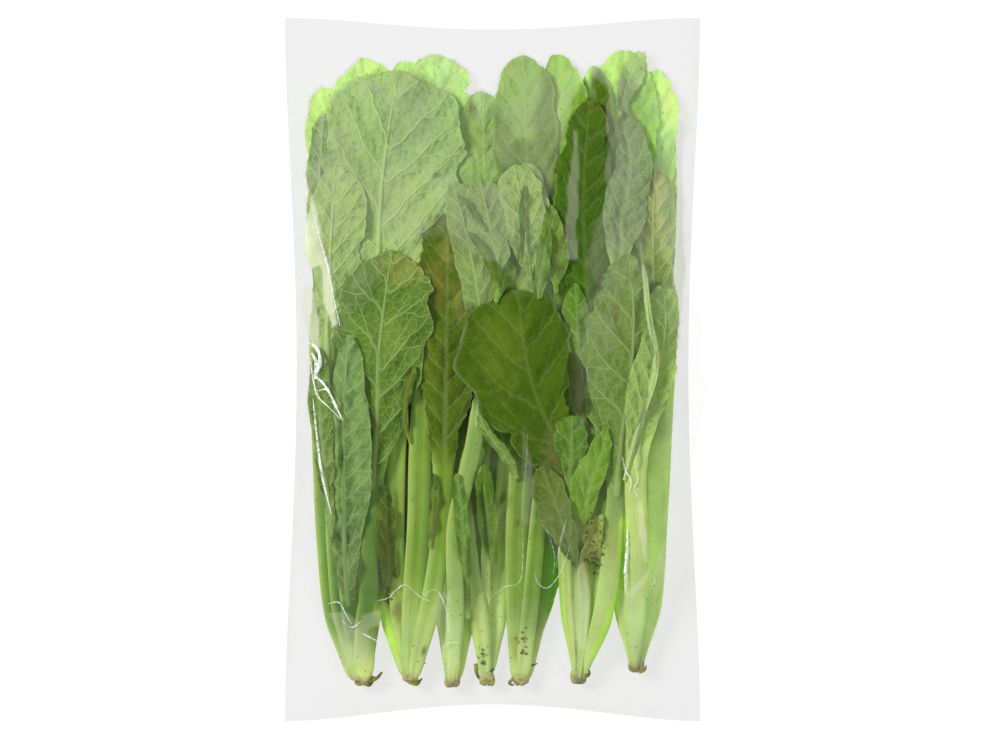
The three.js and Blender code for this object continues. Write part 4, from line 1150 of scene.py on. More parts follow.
def add_crown(builder, plant):
    """The cut root end: a knob of leaf bases with a pale, browned cut face."""
    middle_x, middle_y = CROWNS[plant - 1]
    turn = np.linspace(0, 2 * np.pi, CROWN_AROUND, endpoint=False)
    rings, colours = [], []
    for share, width in CROWN_PROFILE:
        bases = 1 + sum(rise * np.cos(count * turn + shift * plant) for count, rise, shift in LEAF_BASES)
        rough = 0.05 * value_noise(turn * 3, turn * 0 + share * 9, 1, plant)
        radius = CROWN_CORE * width * (bases + rough)
        y = middle_y + CROWN_LENGTH * (0.5 - share) - 0.9 * value_noise(turn * 2, turn * 0, 1, plant + 7)
        y = np.maximum(y, middle_y - CROWN_LENGTH / 2)
        z = CROWN_HEIGHT - CORE_DROP + CROWN_FLATNESS * radius * np.sin(turn)
        rings.append(np.stack([middle_x + radius * np.cos(turn), y, z], 1))
        brown = smooth((share - 0.4) / 0.5) * (0.7 + 0.3 * value_noise(turn * 5, turn * 0 + share, 1, plant))
        green = lerp(to_linear(CROWN_SKIN), to_linear(CUT_END), brown[:, None])
        soiled = value_noise(turn * 2.6, turn * 0 + share * 24, 1, plant + 30)
        soiled = smooth((share - 0.3) / 0.5) * smooth(soiled * 1.6 + 0.1)
        colours.append(lerp(green, to_linear(BARK), SOILED * soiled[:, None]))
    points, colour = np.concatenate(rings), np.concatenate(colours)
    index = np.arange(len(points)).reshape(len(rings), CROWN_AROUND)
    ahead = np.roll(index, -1, 1)
    quads = np.stack([index[:-1], ahead[:-1], ahead[1:], index[1:]], -1).reshape(-1, 4)
    builder.add(points, [quads, index[:1, ::-1], index[-1:]], tint=colour,
                **unpatterned(len(points), 0.3))


# Torn brown scraps at the roots: plant, path, and the half width
HUSKS = (
    (1, ((-76, -184), (-70, -185), (-66, -181)), 1.6),
    (1, ((-78, -187), (-74, -189), (-71, -186)), 1.2),
    (2, ((-50, -187), (-46, -188), (-42, -185)), 1.4),
    (2, ((-46, -176), (-42, -175), (-40, -176)), 0.7),
    (3, ((-25, -187), (-22, -188), (-20, -185)), 1.0),
    (4, ((-10, -176), (-9, -183), (-6, -187)), 1.2),
    (4, ((-7, -180), (-3, -182), (1, -179)), 1.5),
    (5, ((13, -184), (10, -188), (13, -189)), 0.9),
    (5, ((20, -178), (24, -177), (27, -176)), 0.8),
    (6, ((55, -184), (58, -182), (57, -178)), 1.0),
    (7, ((88, -181), (91, -180), (92, -177)), 0.9),
)


def add_husk(builder, path, half):
    """A dry curled scrap at the cut root end."""
    along = np.linspace(0, 1, 14)
    flat = Midrib(path).at(along)
    height = CROWN_HEIGHT + 1.5 * np.sin(3 * along + path[0][0])
    width = 1.3 * half * (1 - 0.7 * along) * (1 + 0.4 * value_noise(flat[:, 0], flat[:, 1], 1.3, 2))
    colour = lerp(to_linear(YELLOWED), to_linear(BARK), smooth(along * 1.2)[:, None])
    add_tube(builder, np.column_stack([flat, height]), width, width * 0.25, colour)


# Withered, crumbled bits: plant, middle, radii and how many
CRUMBLED = (
    (6, (60, -104), (6, 20), 44),
    (5, (18, -163), (4, 9), 12),
    (4, (-6, -172), (2, 5), 8),
    (2, (-62, -134), (3, 7), 10),
)
CRUMB_TURN = 2.4  # from one crumb to the next round their middle, in radians
CRUMB_POINTS = 6
CRUMB_LENGTHS, CRUMB_WIDTH = (1.0, 2.6), 0.55


def add_crumbs(builder, heap, number, middle, radii, count):
    """Little curled flakes strewn over a place on the heap."""
    ground = heap.ground()
    for k in range(count):
        turn, away = CRUMB_TURN * k, np.sqrt((k + 0.5) / count)
        start = np.array(middle) + away * np.array(radii) * (np.cos(turn), np.sin(turn))
        heading = 5.1 * k + number
        length = lerp(*CRUMB_LENGTHS, np.sin(3.7 * k) ** 2)
        along = np.linspace(0, 1, CRUMB_POINTS)
        bend = heading + 1.6 * np.sin(2.9 * k) * along
        x = start[0] + length * along * np.cos(bend)
        y = start[1] + length * along * np.sin(bend)
        z = ground[heap.cells(x, y)] + 0.5 * np.sin(np.pi * along)
        width = (CRUMB_WIDTH + 0.3 * np.sin(1.3 * k)) * np.sin(np.pi * (0.1 + 0.8 * along))
        colour = lerp(to_linear(YELLOWED), to_linear(BROWN), 0.3 + 0.7 * np.sin(4.3 * k) ** 2)
        colours = np.tile(colour, (CRUMB_POINTS, 1))
        add_tube(builder, np.column_stack([x, y, z]), width, width * 0.3, colours)


def find_lit(heap):
    """How far each cell of the heap is a single leaf with light behind it."""
    lit = smooth((1.9 - heap.layers) / 0.8)
    for _ in range(LIT_BLUR):
        lit = around(np.pad(lit, 1, mode="edge")) / 4
    x, y = heap.middles()
    allowed = np.zeros(lit.shape)
    for (middle_x, middle_y), (radius_x, radius_y), strength in LIT_PLACES:
        away = np.hypot((x - middle_x) / radius_x, (y - middle_y) / radius_y)
        allowed = np.maximum(allowed, strength * smooth((1.15 - away) / 0.3))
    return (lit * allowed).ravel()


def make_plants(sheets, material):
    """Lays every fine leaf, then joins the leaves of each plant to its crown."""
    heap = HeightMap(FINE_CELL)
    leaves = []
    for number, (entry, sheet) in enumerate(zip(LEAVES + SCRAPS, sheets)):
        fine = FineLeaf(entry, number, sheet)
        fine.lay(heap)
        leaves.append(fine)
    for number, entry in enumerate(LOWEST, len(leaves)):
        fine = FineLeaf(entry, number, Sheet(entry, number))
        fine.lay_lowest()
        leaves.append(fine)
    lit_map = find_lit(heap)
    for plant in range(1, len(CROWNS) + 1):
        builder = MeshBuilder()
        add_crown(builder, plant)
        for owner, path, half in HUSKS:
            if owner == plant:
                add_husk(builder, path, half)
        for number, (owner, middle, radii, count) in enumerate(CRUMBLED):
            if owner == plant:
                add_crumbs(builder, heap, number, middle, radii, count)
        for fine in leaves:
            if fine.entry["plant"] == plant:
                add_leaf(builder, fine, paint(fine, lit_map, heap))
        piece = builder.build(f"mustard_plant_{plant}", material)
        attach(piece, "root")
        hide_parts(f"plant_{plant}")
    return heap


# Film

# Where the film clings to a leaf it is clear, and where it stands off it is a pale haze.
# Areas are outlines, with their haze from 0 to 1, how pale it is and the width of the edge.
HAZE_SHADE = 0.34
# Haze over the stalks and over the tips, the Y where it begins to grow, and over what length
HAZE = (0.03, 0.16, -30, 150)
LOOSE_HAZE = (0.04, 0.13, -60, 120)  # and what is added where the film is loose
LOOSE_FROM, LOOSE_EDGE = 0.1, 0.09  # of the noise that says where that is
BEND, BEND_SIZE = 1.6, 12  # how far and how finely the outlines of the areas are bent
HAZE_AREAS = (
    # the clear band at the upper right, with the narrow pale band in it
    (((52, 176), (57, 178), (66, 171), (70, 165), (69, 155), (68, 109), (62, 78), (58, 50),
      (50, 30), (44, 30), (36, 60), (28, 78), (35, 109), (44, 144)), 0.0, 0.34, 1.6),
    (((49, 144), (51, 144), (51.5, 108), (50, 66), (43, 66), (45, 108)), 0.3, 0.42, 0.8),
    (((70, 172), (90, 178), (92, 150), (88, 120), (90, 108), (80, 100), (70, 96), (68, 112)),
     0.30, 0.34, 1.6),
    (((62, 88), (68, 100), (76, 96), (84, 60), (74, 40), (56, 62)), 0.2, 0.36, 6.0),
    # over the large leaf on top of the heap, and over those beside it
    (((-37, 82), (-26, 80), (-14, 70), (-10, 59), (-4, 46), (8, 46), (31, 46), (44, 28), (50, -3),
      (48, -30), (40, -60), (31, -81), (16, -72), (1, -48), (-40, -60), (-82, -60), (-84, 30),
      (-62, 66)), 0.0, 0.34, 9.0),
    (((-2, 64), (4, 62), (16, 50), (10, 44), (-2, 46)), 0.0, 0.34, 1.5),
    # a paler band that slants over the middle of the tips
    (((-30, 116), (-14, 108), (-2, 88), (3, 65), (-8, 65), (-18, 80), (-33, 88)), 0.2, 0.4, 1.5),
    (((6, 124), (22, 124), (30, 96), (26, 76), (20, 76), (12, 96)), 0.14, 0.42, 1.5),
    (((19, -34), (24, -52), (27, -92), (17, -92), (17, -60)), 0.12, 0.5, 2.5),
    # the loose folds at the left and at the right edge; the milk of those at the left is partly haze and
    # partly a painted highlight of the light on the folds
    (((-108, 104), (-105, 98), (-98, 60), (-92, 26), (-95, 24), (-101, 40), (-104, 62), (-110, 60),
      (-112, 84)), 0.72, 0.6, 1.2),
    (((-112, 52), (-106, 46), (-103, 30), (-104, 10), (-109, 12), (-112, 30)), 0.62, 0.5, 1.4),
    (((107, 98), (113, 98), (116, 60), (112, 30), (108, 60)), 0.6, 0.8, 2.0),
    (((99, 140), (104, 150), (113, 150), (114, 100), (112, 60), (100, 66), (96, 110)), 0.3, 0.6, 1.5),
    # over the roots
    (((-98, -144), (-88, -144), (-80, -152), (-79, -146), (-68, -143), (-66, -152), (-74, -156),
      (-76, -176), (-88, -178)), 0.24, 0.58, 1.5),
    (((-34, -134), (-26, -134), (-20, -150), (-20, -176), (-28, -180), (-34, -160)), 0.2, 0.6, 2.0),
    (((76, -132), (100, -126), (96, -160), (82, -176)), 0.16, 0.62, 3.0),
    (((51, -111), (55, -114), (58, -138), (57, -168), (48, -168), (45, -150)), 0.2, 0.66, 1.5),
    (((85, -78), (88, -78), (93, -105), (92, -118), (89, -112)), 0.34, 0.74, 0.7),
    (((79, -134), (84, -129), (91, -118), (93, -123), (85, -136)), 0.3, 0.74, 0.7),
    (((94, -123), (100, -108), (104, -96), (102, -126), (96, -138)), 0.22, 0.8, 0.9),
)

# Creases, each a path with its half width and how bright it is: ridges of the film painted white as glints
# of light
CREASE_GLINTS = (
    (((-107, 94), (-103, 78), (-98, 60), (-95, 44), (-91, 26)), 0.5, 1.0),
    (((-110, 16), (-106, 14), (-103, 8), (-104, 0), (-108, -5)), 1.1, 1.0),
    (((-108, 10), (-105, 4), (-106, -6)), 1.3, 1.0),
    (((-109, -2), (-101, -8), (-95, -18), (-90, -29)), 0.75, 1.0),
    (((-105, -13), (-99, -12), (-94, -21), (-89, -30)), 0.55, 1.0),
    (((-109, 8), (-107, -6), (-104, -16), (-98, -22), (-90, -30)), 0.5, 0.9),
    (((-107, -17), (-105, -36), (-102, -60), (-99, -74), (-96, -86)), 0.7, 0.9),
    (((-69, -138), (-62, -136), (-57, -131), (-52, -128), (-48, -131), (-42, -136), (-37, -138)), 0.3, 0.6),
    (((-41, -137), (-38, -132), (-34, -131), (-30, -136), (-27, -146), (-26, -158)), 0.3, 0.5),
    (((-30, -166), (-26, -163), (-20, -163)), 0.35, 0.6),
    (((-4, -140), (1, -134), (8, -129), (14, -128), (17, -124), (18, -112), (18, -92)), 0.22, 0.4),
    (((25, -120), (27, -127), (32, -130), (37, -126), (43, -114), (46, -104)), 0.25, 0.5),
    (((21, -38), (20, -56), (18, -80), (18, -96)), 0.25, 0.2),
    (((77, -52), (79, -60), (82, -66), (81, -74)), 0.4, 0.8),
    (((85, -58), (86, -66), (84, -71), (88, -77)), 0.3, 0.7),
    (((93, -126), (95, -128), (97, -125), (95, -123), (93, -126)), 0.3, 0.6),
    (((-98, -140), (-92, -139), (-87, -147), (-84, -152)), 0.4, 0.7),
    (((-90, -150), (-84, -154), (-78, -150)), 0.35, 0.6),
    (((-79, -157), (-73, -160), (-67, -163)), 0.5, 0.8),
    (((80, -95), (80, -104), (79, -120), (79, -132)), 1.0, 1.0),
    (((44, -88), (40, -104), (38, -118)), 0.5, 0.2),
    (((30, -92), (34, -100), (37, -112), (36, -122)), 0.4, 0.2),
)


def in_outline(x, y, outline):
    """Which points lie inside a closed outline."""
    inside = np.zeros(x.shape, bool)
    for (ax, ay), (bx, by) in zip(outline, outline[1:] + outline[:1]):
        crosses = (ay > y) != (by > y)
        at = ax + (bx - ax) * (y - ay) / (by - ay if by != ay else 1)
        inside ^= crosses & (x < at)
    return inside


def away_from(x, y, path):
    """Distance from each point to a path."""
    nearest = np.full(x.shape, np.inf)
    for (ax, ay), (bx, by) in zip(path, path[1:]):
        dx, dy = bx - ax, by - ay
        t = np.clip(((x - ax) * dx + (y - ay) * dy) / (dx * dx + dy * dy), 0, 1)
        nearest = np.minimum(nearest, np.hypot(x - ax - t * dx, y - ay - t * dy))
    return nearest


def film_place(across, along):
    """The bag's plan, for shares from -1 to 1 across it and along it."""
    end_dip = np.where(along > 0, MOUTH_DIP, FOOT_DIP)
    x = across * (BAG_WIDTH / 2 - BAG_WAIST * (1 - along**2) ** 2)
    y = along * (BAG_LENGTH / 2 - end_dip * (1 - across**2) ** 2)
    return x, y


FILM_CLEARANCE = 0.35  # of the film, above the heap
FILM_RIM = 0.5  # height of the closed edges
MOUTH_RIM = 1.6  # height of the open end
WRINKLE_HEIGHT = 0.5
FREE_HEIGHT = 1.5  # off the heap, from which the film wrinkles freely
FILM_SAG = 0.004  # a round, where nothing holds the film up
STRETCH_ROUNDS = 260
COARSE_FILM = (82, 48)  # rows and columns of the grid that the fine one starts from
CREASE_STEPS = 40


def stretch(z, floor, sag):
    """Draws a grid tight over the floor below it, with its edge held."""
    for _ in range(STRETCH_ROUNDS):
        z[1:-1, 1:-1] = np.maximum(floor[1:-1, 1:-1], around(z) / 4 - sag)
    return z


def film_grid(heap, rows, columns, start=None):
    """The upper film over the heap, as grids x, y, z and its distance off the heap. It
    starts from the heights of a coarser film, where there is one."""
    along, across = np.meshgrid(np.linspace(-1, 1, rows), np.linspace(-1, 1, columns), indexing="ij")
    x, y = film_place(across, along)
    floor = heap.ground()[heap.cells(x, y)] + FILM_CLEARANCE
    edge = np.full(x.shape, FILM_RIM)
    edge[-1] = MOUTH_RIM
    if start is None:
        z = np.maximum(floor, 1.0)
    else:
        down, over = (cubic_weights(size, np.linspace(0, size - 1, count))
                      for size, count in zip(start.shape, (rows, columns)))
        z = np.maximum(down @ start @ over.T, floor)
    for side in (np.s_[0], np.s_[-1], np.s_[:, 0], np.s_[:, -1]):
        z[side] = edge[side]
        floor[side] = edge[side]
    z = stretch(z, floor, FILM_SAG)
    return x, y, z, z - floor


def growing(y, low, high, start, length):
    """A haze that grows from low to high up the bag."""
    return lerp(low, high, smooth((y - start) / length))


def film_haze(x, y, covered):
    """How milky the film is at each point, and how pale its haze is."""
    uneven = 1 + 0.5 * value_noise(x, y, 24, 3) + 0.3 * value_noise(x, y, 9, 4)
    loose = value_noise(x + 0.4 * y, 0.5 * y, 15, 21) + 0.5 * value_noise(x, y, 7, 22)
    haze = growing(y, *HAZE) * covered * uneven
    haze = haze + growing(y, *LOOSE_HAZE) * covered * smooth((loose - LOOSE_FROM) / LOOSE_EDGE)
    milk = np.full(x.shape, HAZE_SHADE)
    bent_x = x + BEND * value_noise(x, y, BEND_SIZE, 11)
    bent_y = y + BEND * value_noise(x, y, BEND_SIZE, 12)
    for outline, value, shade, edge in HAZE_AREAS:
        rim = away_from(bent_x, bent_y, outline + outline[:1])
        signed = np.where(in_outline(bent_x, bent_y, outline), -rim, rim)
        share = smooth(0.5 - signed / edge)
        haze = lerp(haze, value, share)
        milk = lerp(milk, shade, share)
    return np.clip(haze, 0, 1), milk


def make_bag(heap, material):
    """The bag as one closed skin but for its mouth. Returns the heights of its upper film."""
    coarse = film_grid(heap, *COARSE_FILM)
    rows, columns = int(BAG_LENGTH / FILM_STEP), int(BAG_WIDTH / FILM_STEP)
    x, y, z, off = film_grid(heap, rows, columns, coarse[2])
    free = smooth(off / FREE_HEIGHT)
    wrinkle = 1 - np.abs(value_noise(x + 0.3 * y, y * 0.35, 11, 8))
    z = z + free * WRINKLE_HEIGHT * wrinkle**4
    covered = smooth(heap.layers.ravel()[heap.cells(x, y)])
    haze, milk = film_haze(x, y, covered)
    builder = MeshBuilder()
    count = x.size
    top = np.stack([x, y, z], -1).reshape(-1, 3)
    rim = grid_rim(rows, columns)
    foot = top[rim].copy()
    foot[:, 2] = 0
    ring = np.arange(len(rim))
    mouth = np.abs(top[rim][:, 2] - MOUTH_RIM) < 1e-6
    wall = np.stack([rim, ring + count, np.roll(ring, -1) + count, np.roll(rim, -1)], 1)
    closed = ~(mouth & np.roll(mouth, -1))
    faces = [grid_quads(rows, columns), wall[closed], (ring + count)[None, ::-1]]
    builder.add(np.vstack([top, foot]), faces,
                haze=np.concatenate([haze.ravel(), haze.ravel()[rim] * 0.4]),
                milk=np.concatenate([milk.ravel(), milk.ravel()[rim]]))
    bag = builder.build("film_bag", material, sharp=False)
    bag.visible_shadow = False
    bag.visible_diffuse = False
    bag.visible_transmission = False
    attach(bag, "root")
    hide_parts("bag_film")
    return z


def make_crease_glints(film, material):
    """The creases, as low ridges on the upper film, painted bright as glints of light."""
    rows, columns = film.shape
    creases = MeshBuilder()
    for path, half, bright in CREASE_GLINTS:
        points = Midrib(path).at(np.linspace(0, 1, CREASE_STEPS))
        along = points[:, 1] / (BAG_LENGTH / 2)
        across = points[:, 0] / (BAG_WIDTH / 2 - BAG_WAIST * (1 - along**2) ** 2)
        row = np.clip((along + 1) * (rows - 1) / 2, 0, rows - 2)
        column = np.clip((across + 1) * (columns - 1) / 2, 0, columns - 2)
        height = read_grid(film, row, column) + 0.05
        taper = np.sin(np.linspace(0.12, np.pi - 0.12, CREASE_STEPS)) ** 0.6
        width = half * taper * (1 + 0.3 * value_noise(points[:, 0], points[:, 1], 3, 5))
        # how white the crease is painted, as a glint of light
        tone = np.full((CREASE_STEPS, 3), bright)
        add_tube(creases, np.column_stack([points, height]), width, width * 0.5, tone)
    piece = creases.build("film_crease_glints", material)
    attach(piece, "root")


# Materials

WHITE = (1, 1, 1, 1)
# Sizes of the cells between the finer veins, and widths of the lines between them: of the
# net, of the skin that falls away towards it, and of the fine net
NETS = ((5.2, 0.13), (5.2, 0.4), (1.7, 0.2))
GRAIN = (0.22, 0.89)  # how far the grain lightens the skin, and its darkest
STREAK_STRENGTH = 0.4  # of the streaks along a stalk
STREAKS_ACROSS, STREAKS_ALONG = 0.9, 0.02  # how finely they change
SPECK_SPACING = 11
PALENESS = 0.62  # how far a vein's colour is drawn towards VEIN
# What an underside adds, and the strength on an upper face
VEIN_STRENGTH, NET_STRENGTH = (0.35, 0.4), (0.23, 0.17)
RAISED = (1.6, -0.7)  # of veins, which are sunk on an upper face and stand up on an underside
SPECK_STRENGTH = 0.75
SKIN_ROUGHNESS, SKIN_SHEEN = 0.5, 0.2
THROUGH = 0.4  # share of the light that a leaf lets through
FILM_TINT = (0.905, 0.905, 0.905, 1)
FILM_GLOSS = 0.32
MILK_TINT = (1, 1.05, 0.74)
# the painted white of the crease glints, with a faint painted glow though they are no lamp
CREASE_GLINT_COLOUR = (0.8, 0.84, 0.76, 1)
CREASE_CLEAR = (0.97, 0.97, 0.97, 1)
CREASE_GLINT_GLOW = 0.06


class Graph:
    """Short ways to build a material's nodes."""

    def __init__(self, name):
        self.material = bpy.data.materials.new(name)
        self.material.use_nodes = True
        self.tree = self.material.node_tree
        self.tree.nodes.clear()

    def node(self, kind, inputs=None, **settings):
        made = self.tree.nodes.new("ShaderNode" + kind)
        for key, value in settings.items():
            setattr(made, key, value)
        for key, value in (inputs or {}).items():
            self.put(made.inputs[key], value)
        return made

    def put(self, socket, value):
        if isinstance(value, bpy.types.NodeSocket):
            self.tree.links.new(value, socket)
        else:
            socket.default_value = value

    def math(self, operation, *values, clamp=False):
        made = self.node("Math", operation=operation, use_clamp=clamp)
        for socket, value in zip(made.inputs, values):
            self.put(socket, value)
        return made.outputs[0]

    def times(self, *values):
        """The product of these values."""
        product = values[0]
        for value in values[1:]:
            product = self.math("MULTIPLY", product, value)
        return product

    def scaled(self, value, factor, offset):
        return self.math("MULTIPLY_ADD", value, factor, offset)

    def ramp(self, value, low, high, start=0.0, end=1.0):
        """A smooth step from start at low to end at high."""
        made = self.node("MapRange", {
            "Value": value, "From Min": low, "From Max": high, "To Min": start, "To Max": end},
            interpolation_type="SMOOTHSTEP")
        return made.outputs[0]

    def mix(self, share, a, b, blend="MIX"):
        made = self.node("Mix", data_type="RGBA", blend_type=blend)
        for index, value in ((0, share), (6, a), (7, b)):
            self.put(made.inputs[index], value)
        return made.outputs[2]

    def shade_mix(self, share, a, b):
        return self.node("MixShader", {0: share, 1: a.outputs[0], 2: b.outputs[0]})

    def attribute(self, name, kind="Vector"):
        return self.node("Attribute", attribute_name=name).outputs[kind]

    def split(self, vector):
        return self.node("SeparateXYZ", {"Vector": vector}).outputs

    def join(self, x, y, z=0.0):
        return self.node("CombineXYZ", {"X": x, "Y": y, "Z": z}).outputs[0]

    def noise(self, vector, scale, detail, distortion=0.0, output=0):
        made = self.node("TexNoise", {
            "Vector": vector, "Scale": scale, "Detail": detail, "Distortion": distortion})
        return made.outputs[output]

    def cells(self, vector, scale, feature, smoothness=1.0):
        """Distances in a plane of cells, by this way of measuring."""
        made = self.node("TexVoronoi", feature=feature, voronoi_dimensions="2D")
        self.put(made.inputs["Vector"], vector)
        self.put(made.inputs["Scale"], scale)
        if feature == "SMOOTH_F1":
            self.put(made.inputs["Smoothness"], smoothness)
        return made.outputs["Distance"]

    def bump(self, height, strength=1.0):
        made = self.node("Bump", {"Strength": strength, "Distance": METRE, "Height": height})
        return made.outputs[0]

    def finish(self, shader):
        self.node("OutputMaterial", {"Surface": shader.outputs[0]})
        return self.material


def rgba(colour):
    return (*to_linear(colour), 1)


def vein_pattern(g, wide, blade, reach):
    """The strength of the midrib, of the side veins and of their branches."""
    least, most = VEIN_SPACING
    spacing = g.math("MINIMUM", g.math("MAXIMUM", g.times(reach, SPACING_SHARE), least), most)
    phases = g.split(g.attribute("vein_phase"))
    out = g.math("ABSOLUTE", wide)
    share = g.math("DIVIDE", out, g.math("MAXIMUM", reach, 1))

    def line(phase, slant, width, start, stop):
        """A vein line's strength, for a half width and a range of shares of the reach."""
        off = g.math("ABSOLUTE", g.math("SUBTRACT", g.math("FRACT", phase), 0.5))
        mask = g.ramp(g.math("DIVIDE", g.times(off, spacing, slant), width), 0.5, 1.5, 1, 0)
        inside = g.times(g.math("GREATER_THAN", share, start), g.math("LESS_THAN", share, stop))
        return g.times(mask, inside)

    midrib = g.ramp(g.math("DIVIDE", out, g.scaled(blade, -1.5, 2.1)), 0.55, 1.25, 1, 0)
    veins = line(phases[0], 0.62, g.scaled(share, -0.45, 0.75), 0.0, 2.0)
    branches = line(phases[1], 0.97, 0.38, BRANCH_START, 2.0)
    closing = line(phases[2], 0.4, 0.32, NET_START, 0.62)
    for other in (branches, closing, midrib):
        veins = g.math("MAXIMUM", veins, other)
    return veins


def leaf_material():
    """Leaf skin: its tint, with veins, a fine net, specks, and light through it."""
    g = Graph("leaf_skin")
    tint = g.attribute("tint", "Color")
    along, wide, blade = g.split(g.attribute("leaf_map"))
    fullness, under, reach = g.split(g.attribute("leaf_look"))
    patterned = g.math("GREATER_THAN", reach, 1)
    on_blade = g.times(fullness, patterned, g.attribute("veined", "Fac"))
    on_stalk = g.times(g.math("SUBTRACT", 1, fullness), patterned)
    veins = g.times(vein_pattern(g, wide, blade, reach), on_blade)

    flat = g.join(wide, along)
    warp = g.noise(flat, 0.2, 2.0, output="Color")
    bent = g.node("MixRGB", {0: 0.5, 1: flat, 2: warp}, blend_type="LINEAR_LIGHT").outputs[0]

    def net(size, width):
        """Lines of this width between cells of this size, on the blade only."""
        return g.times(g.ramp(g.cells(bent, 1 / size, "DISTANCE_TO_EDGE"), 0.0, width, 1, 0), on_blade)

    wide_net, swell, fine_net = (net(*sizes) for sizes in NETS)
    cells = g.cells(bent, 0.2, "SMOOTH_F1")
    rumpled = g.noise(flat, 0.3, 1.5, 0.4)
    streaks = g.noise(g.join(g.times(wide, STREAKS_ACROSS), g.times(along, STREAKS_ALONG)), 1.0, 3.0)
    streak = g.times(g.math("SUBTRACT", streaks, 0.5), on_stalk, STREAK_STRENGTH)
    grain = g.noise(flat, 0.9, 4.0)

    tone = g.math("ADD", g.scaled(grain, *GRAIN), streak)
    toned = g.mix(1.0, tint, g.join(tone, tone, tone), "MULTIPLY")
    pale = g.mix(PALENESS, toned, rgba(VEIN), "LIGHTEN")
    net_strength = g.scaled(under, *NET_STRENGTH)
    colour = toned
    for lines, strength in ((veins, g.scaled(under, *VEIN_STRENGTH)), (wide_net, net_strength),
                            (fine_net, g.times(net_strength, 0.4))):
        colour = g.mix(g.times(lines, strength), colour, pale)
    specks = g.ramp(g.cells(flat, 1 / SPECK_SPACING, "F1"), 0.03, 0.06, 1, 0)
    patch = g.math("GREATER_THAN", g.noise(flat, 0.03, 2.0), 0.52)
    colour = g.mix(g.times(specks, patch, patterned, SPECK_STRENGTH), colour, rgba(BROWN))

    raised = g.scaled(under, *RAISED)
    height = g.times(veins, raised, 0.35)
    # What else stands out, and how far
    reliefs = (
        (g.times(cells, raised), g.times(on_blade, 1.8)),
        (g.times(rumpled, fullness), 0.6),
        (g.times(swell, raised), 0.4),
        (g.times(fine_net, raised), 0.06),
        (grain, 0.25),
        (streak, 0.15),
    )
    for relief, factor in reliefs:
        height = g.scaled(relief, factor, height)
    normal = g.bump(height)
    skin = g.node("BsdfPrincipled", {"Base Color": colour, "Roughness": SKIN_ROUGHNESS,
                                     "Specular IOR Level": SKIN_SHEEN, "Normal": normal})
    through = g.node("BsdfTranslucent", {"Color": g.mix(0.5, colour, rgba(LIT)), "Normal": normal})
    return g.finish(g.shade_mix(THROUGH, skin, through))


def film_material():
    """Clear film: mostly see-through, milky where its haze says so, with a gloss."""
    g = Graph("clear_film")
    place = g.node("TexCoord").outputs["Object"]
    drawn_out = g.node("Mapping", {"Vector": place, "Scale": (260, 60, 60)}).outputs[0]
    streaks = g.scaled(g.noise(drawn_out, 1.0, 4.0), 0.5, 0.75)
    milky = g.math("MULTIPLY", g.attribute("haze", "Fac"), streaks, clamp=True)
    bump = g.bump(g.noise(place, 90.0, 3.0), 0.25)
    clear = g.node("BsdfTransparent", {"Color": FILM_TINT})
    shade = g.attribute("milk", "Fac")
    milk = g.node("BsdfPrincipled", {
        "Base Color": g.join(*(g.times(shade, share) for share in MILK_TINT)), "Roughness": 0.6,
        "Specular IOR Level": 0.0, "Normal": bump})
    shine = g.node("BsdfAnisotropic", {"Color": WHITE, "Roughness": 0.12, "Normal": bump})
    fresnel = g.node("Fresnel", {"IOR": 1.4, "Normal": bump}).outputs[0]
    return g.finish(g.shade_mix(g.times(fresnel, FILM_GLOSS), g.shade_mix(milky, clear, milk), shine))


def crease_glint_material():
    """Broken streaks where the film is sharply bent, painted white with a faint glow as glints of light."""
    g = Graph("painted_glint_film")
    broken = g.noise(g.node("TexCoord").outputs["Object"], 400.0, 2.0)
    share = g.times(g.ramp(broken, 0.35, 0.6, 0.2, 0.95), g.attribute("tint", "Fac"))
    clear = g.node("BsdfTransparent", {"Color": CREASE_CLEAR})
    white = g.node("BsdfPrincipled", {
        "Base Color": CREASE_GLINT_COLOUR, "Roughness": 0.3, "Emission Color": WHITE,
        "Emission Strength": CREASE_GLINT_GLOW})
    return g.finish(g.shade_mix(share, clear, white))


# Floor, light and camera

CAMERA_HEIGHT = 3.0  # in metres
VIEW_WIDTH = 592.2  # what the picture is wide at the bag, in millimetres
VIEW_CENTRE = (0.6, -0.3)
SENSOR = 36.0
FLOOR_DROP = 0.0006  # in metres, below the bag
FLOOR_SHADE = (0.14, 0.14, 0.14, 1)
FLOOR_GLOW = 0.9
SKY_GLOW = 0.33
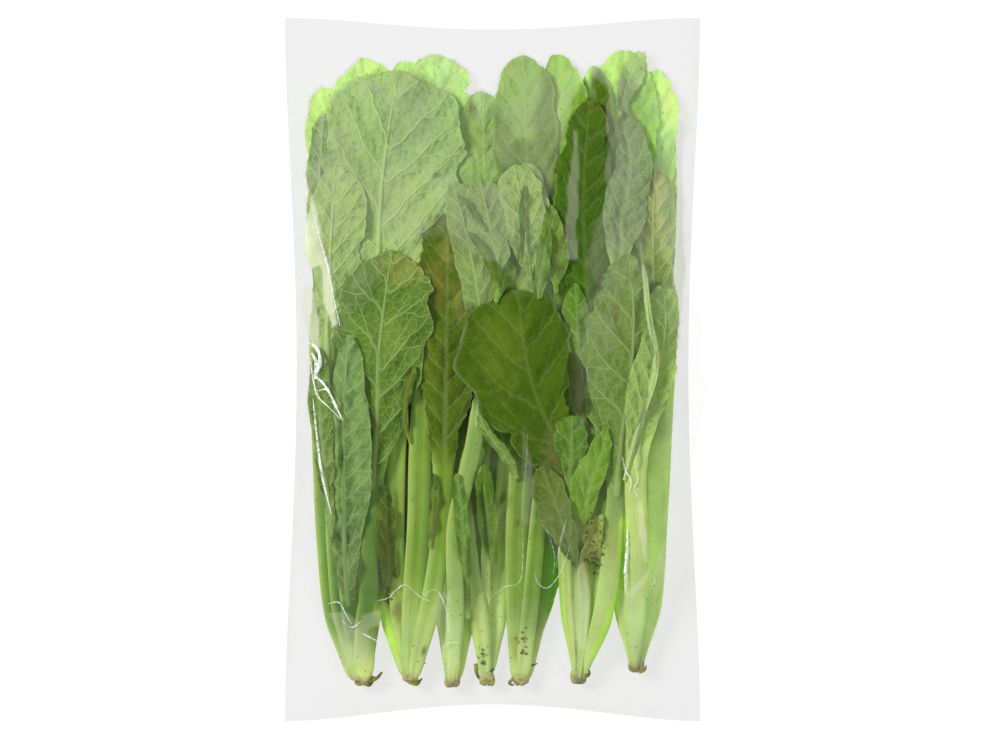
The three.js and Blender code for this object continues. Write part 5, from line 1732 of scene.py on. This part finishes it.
# Lamps: name, place and width in metres, and power in watts
LAMPS = (
    ("key", (-1.5, 0.65, 1.5), 0.65, 53),
    ("fill", (1.6, -0.6, 1.8), 1.2, 18),
)


def make_floor():
    """A pale floor with a little light of its own, like a lit table top."""
    g = Graph("pale_floor")
    face = g.node("BsdfPrincipled", {
        "Base Color": FLOOR_SHADE, "Roughness": 0.9, "Specular IOR Level": 0.0,
        "Emission Color": WHITE, "Emission Strength": FLOOR_GLOW})
    material = g.finish(face)
    bpy.ops.mesh.primitive_plane_add(size=8, location=(0, 0, -FLOOR_DROP))
    floor = bpy.context.object
    floor.name = "floor"
    floor.data.materials.append(material)


def make_light(name, place, size, power):
    lamp = bpy.data.lights.new(name, "AREA")
    lamp.shape = "SQUARE"
    lamp.size = size
    lamp.energy = power
    holder = bpy.data.objects.new(name, lamp)
    holder.location = place
    holder.rotation_euler = direction_to_euler(-np.array(place, float))
    holder.visible_glossy = False
    bpy.context.scene.collection.objects.link(holder)


def direction_to_euler(towards):
    """The turn that points a lamp's own -Z this way."""
    x, y, z = towards
    return (np.arctan2(np.hypot(x, y), -z), 0.0, np.arctan2(-x, y))


def make_lights():
    world = bpy.data.worlds.new("soft_sky")
    world.use_nodes = True
    sky = world.node_tree.nodes["Background"].inputs
    sky["Color"].default_value = WHITE
    sky["Strength"].default_value = SKY_GLOW
    bpy.context.scene.world = world
    for lamp in LAMPS:
        make_light(*lamp)


def make_camera():
    """Looks straight down on the middle of the bag."""
    camera = bpy.data.cameras.new("camera")
    camera.sensor_width = SENSOR
    camera.lens = SENSOR * CAMERA_HEIGHT / (VIEW_WIDTH * METRE)
    camera.clip_end = 20
    holder = bpy.data.objects.new("camera", camera)
    holder.location = (VIEW_CENTRE[0] * METRE, VIEW_CENTRE[1] * METRE, CAMERA_HEIGHT)
    bpy.context.scene.collection.objects.link(holder)
    bpy.context.scene.camera = holder
    bpy.context.scene.view_settings.view_transform = "Standard"


make_camera()
make_floor()
make_lights()
heap = make_plants(lay_sheets(), leaf_material())
make_crease_glints(make_bag(heap, film_material()), crease_glint_material())
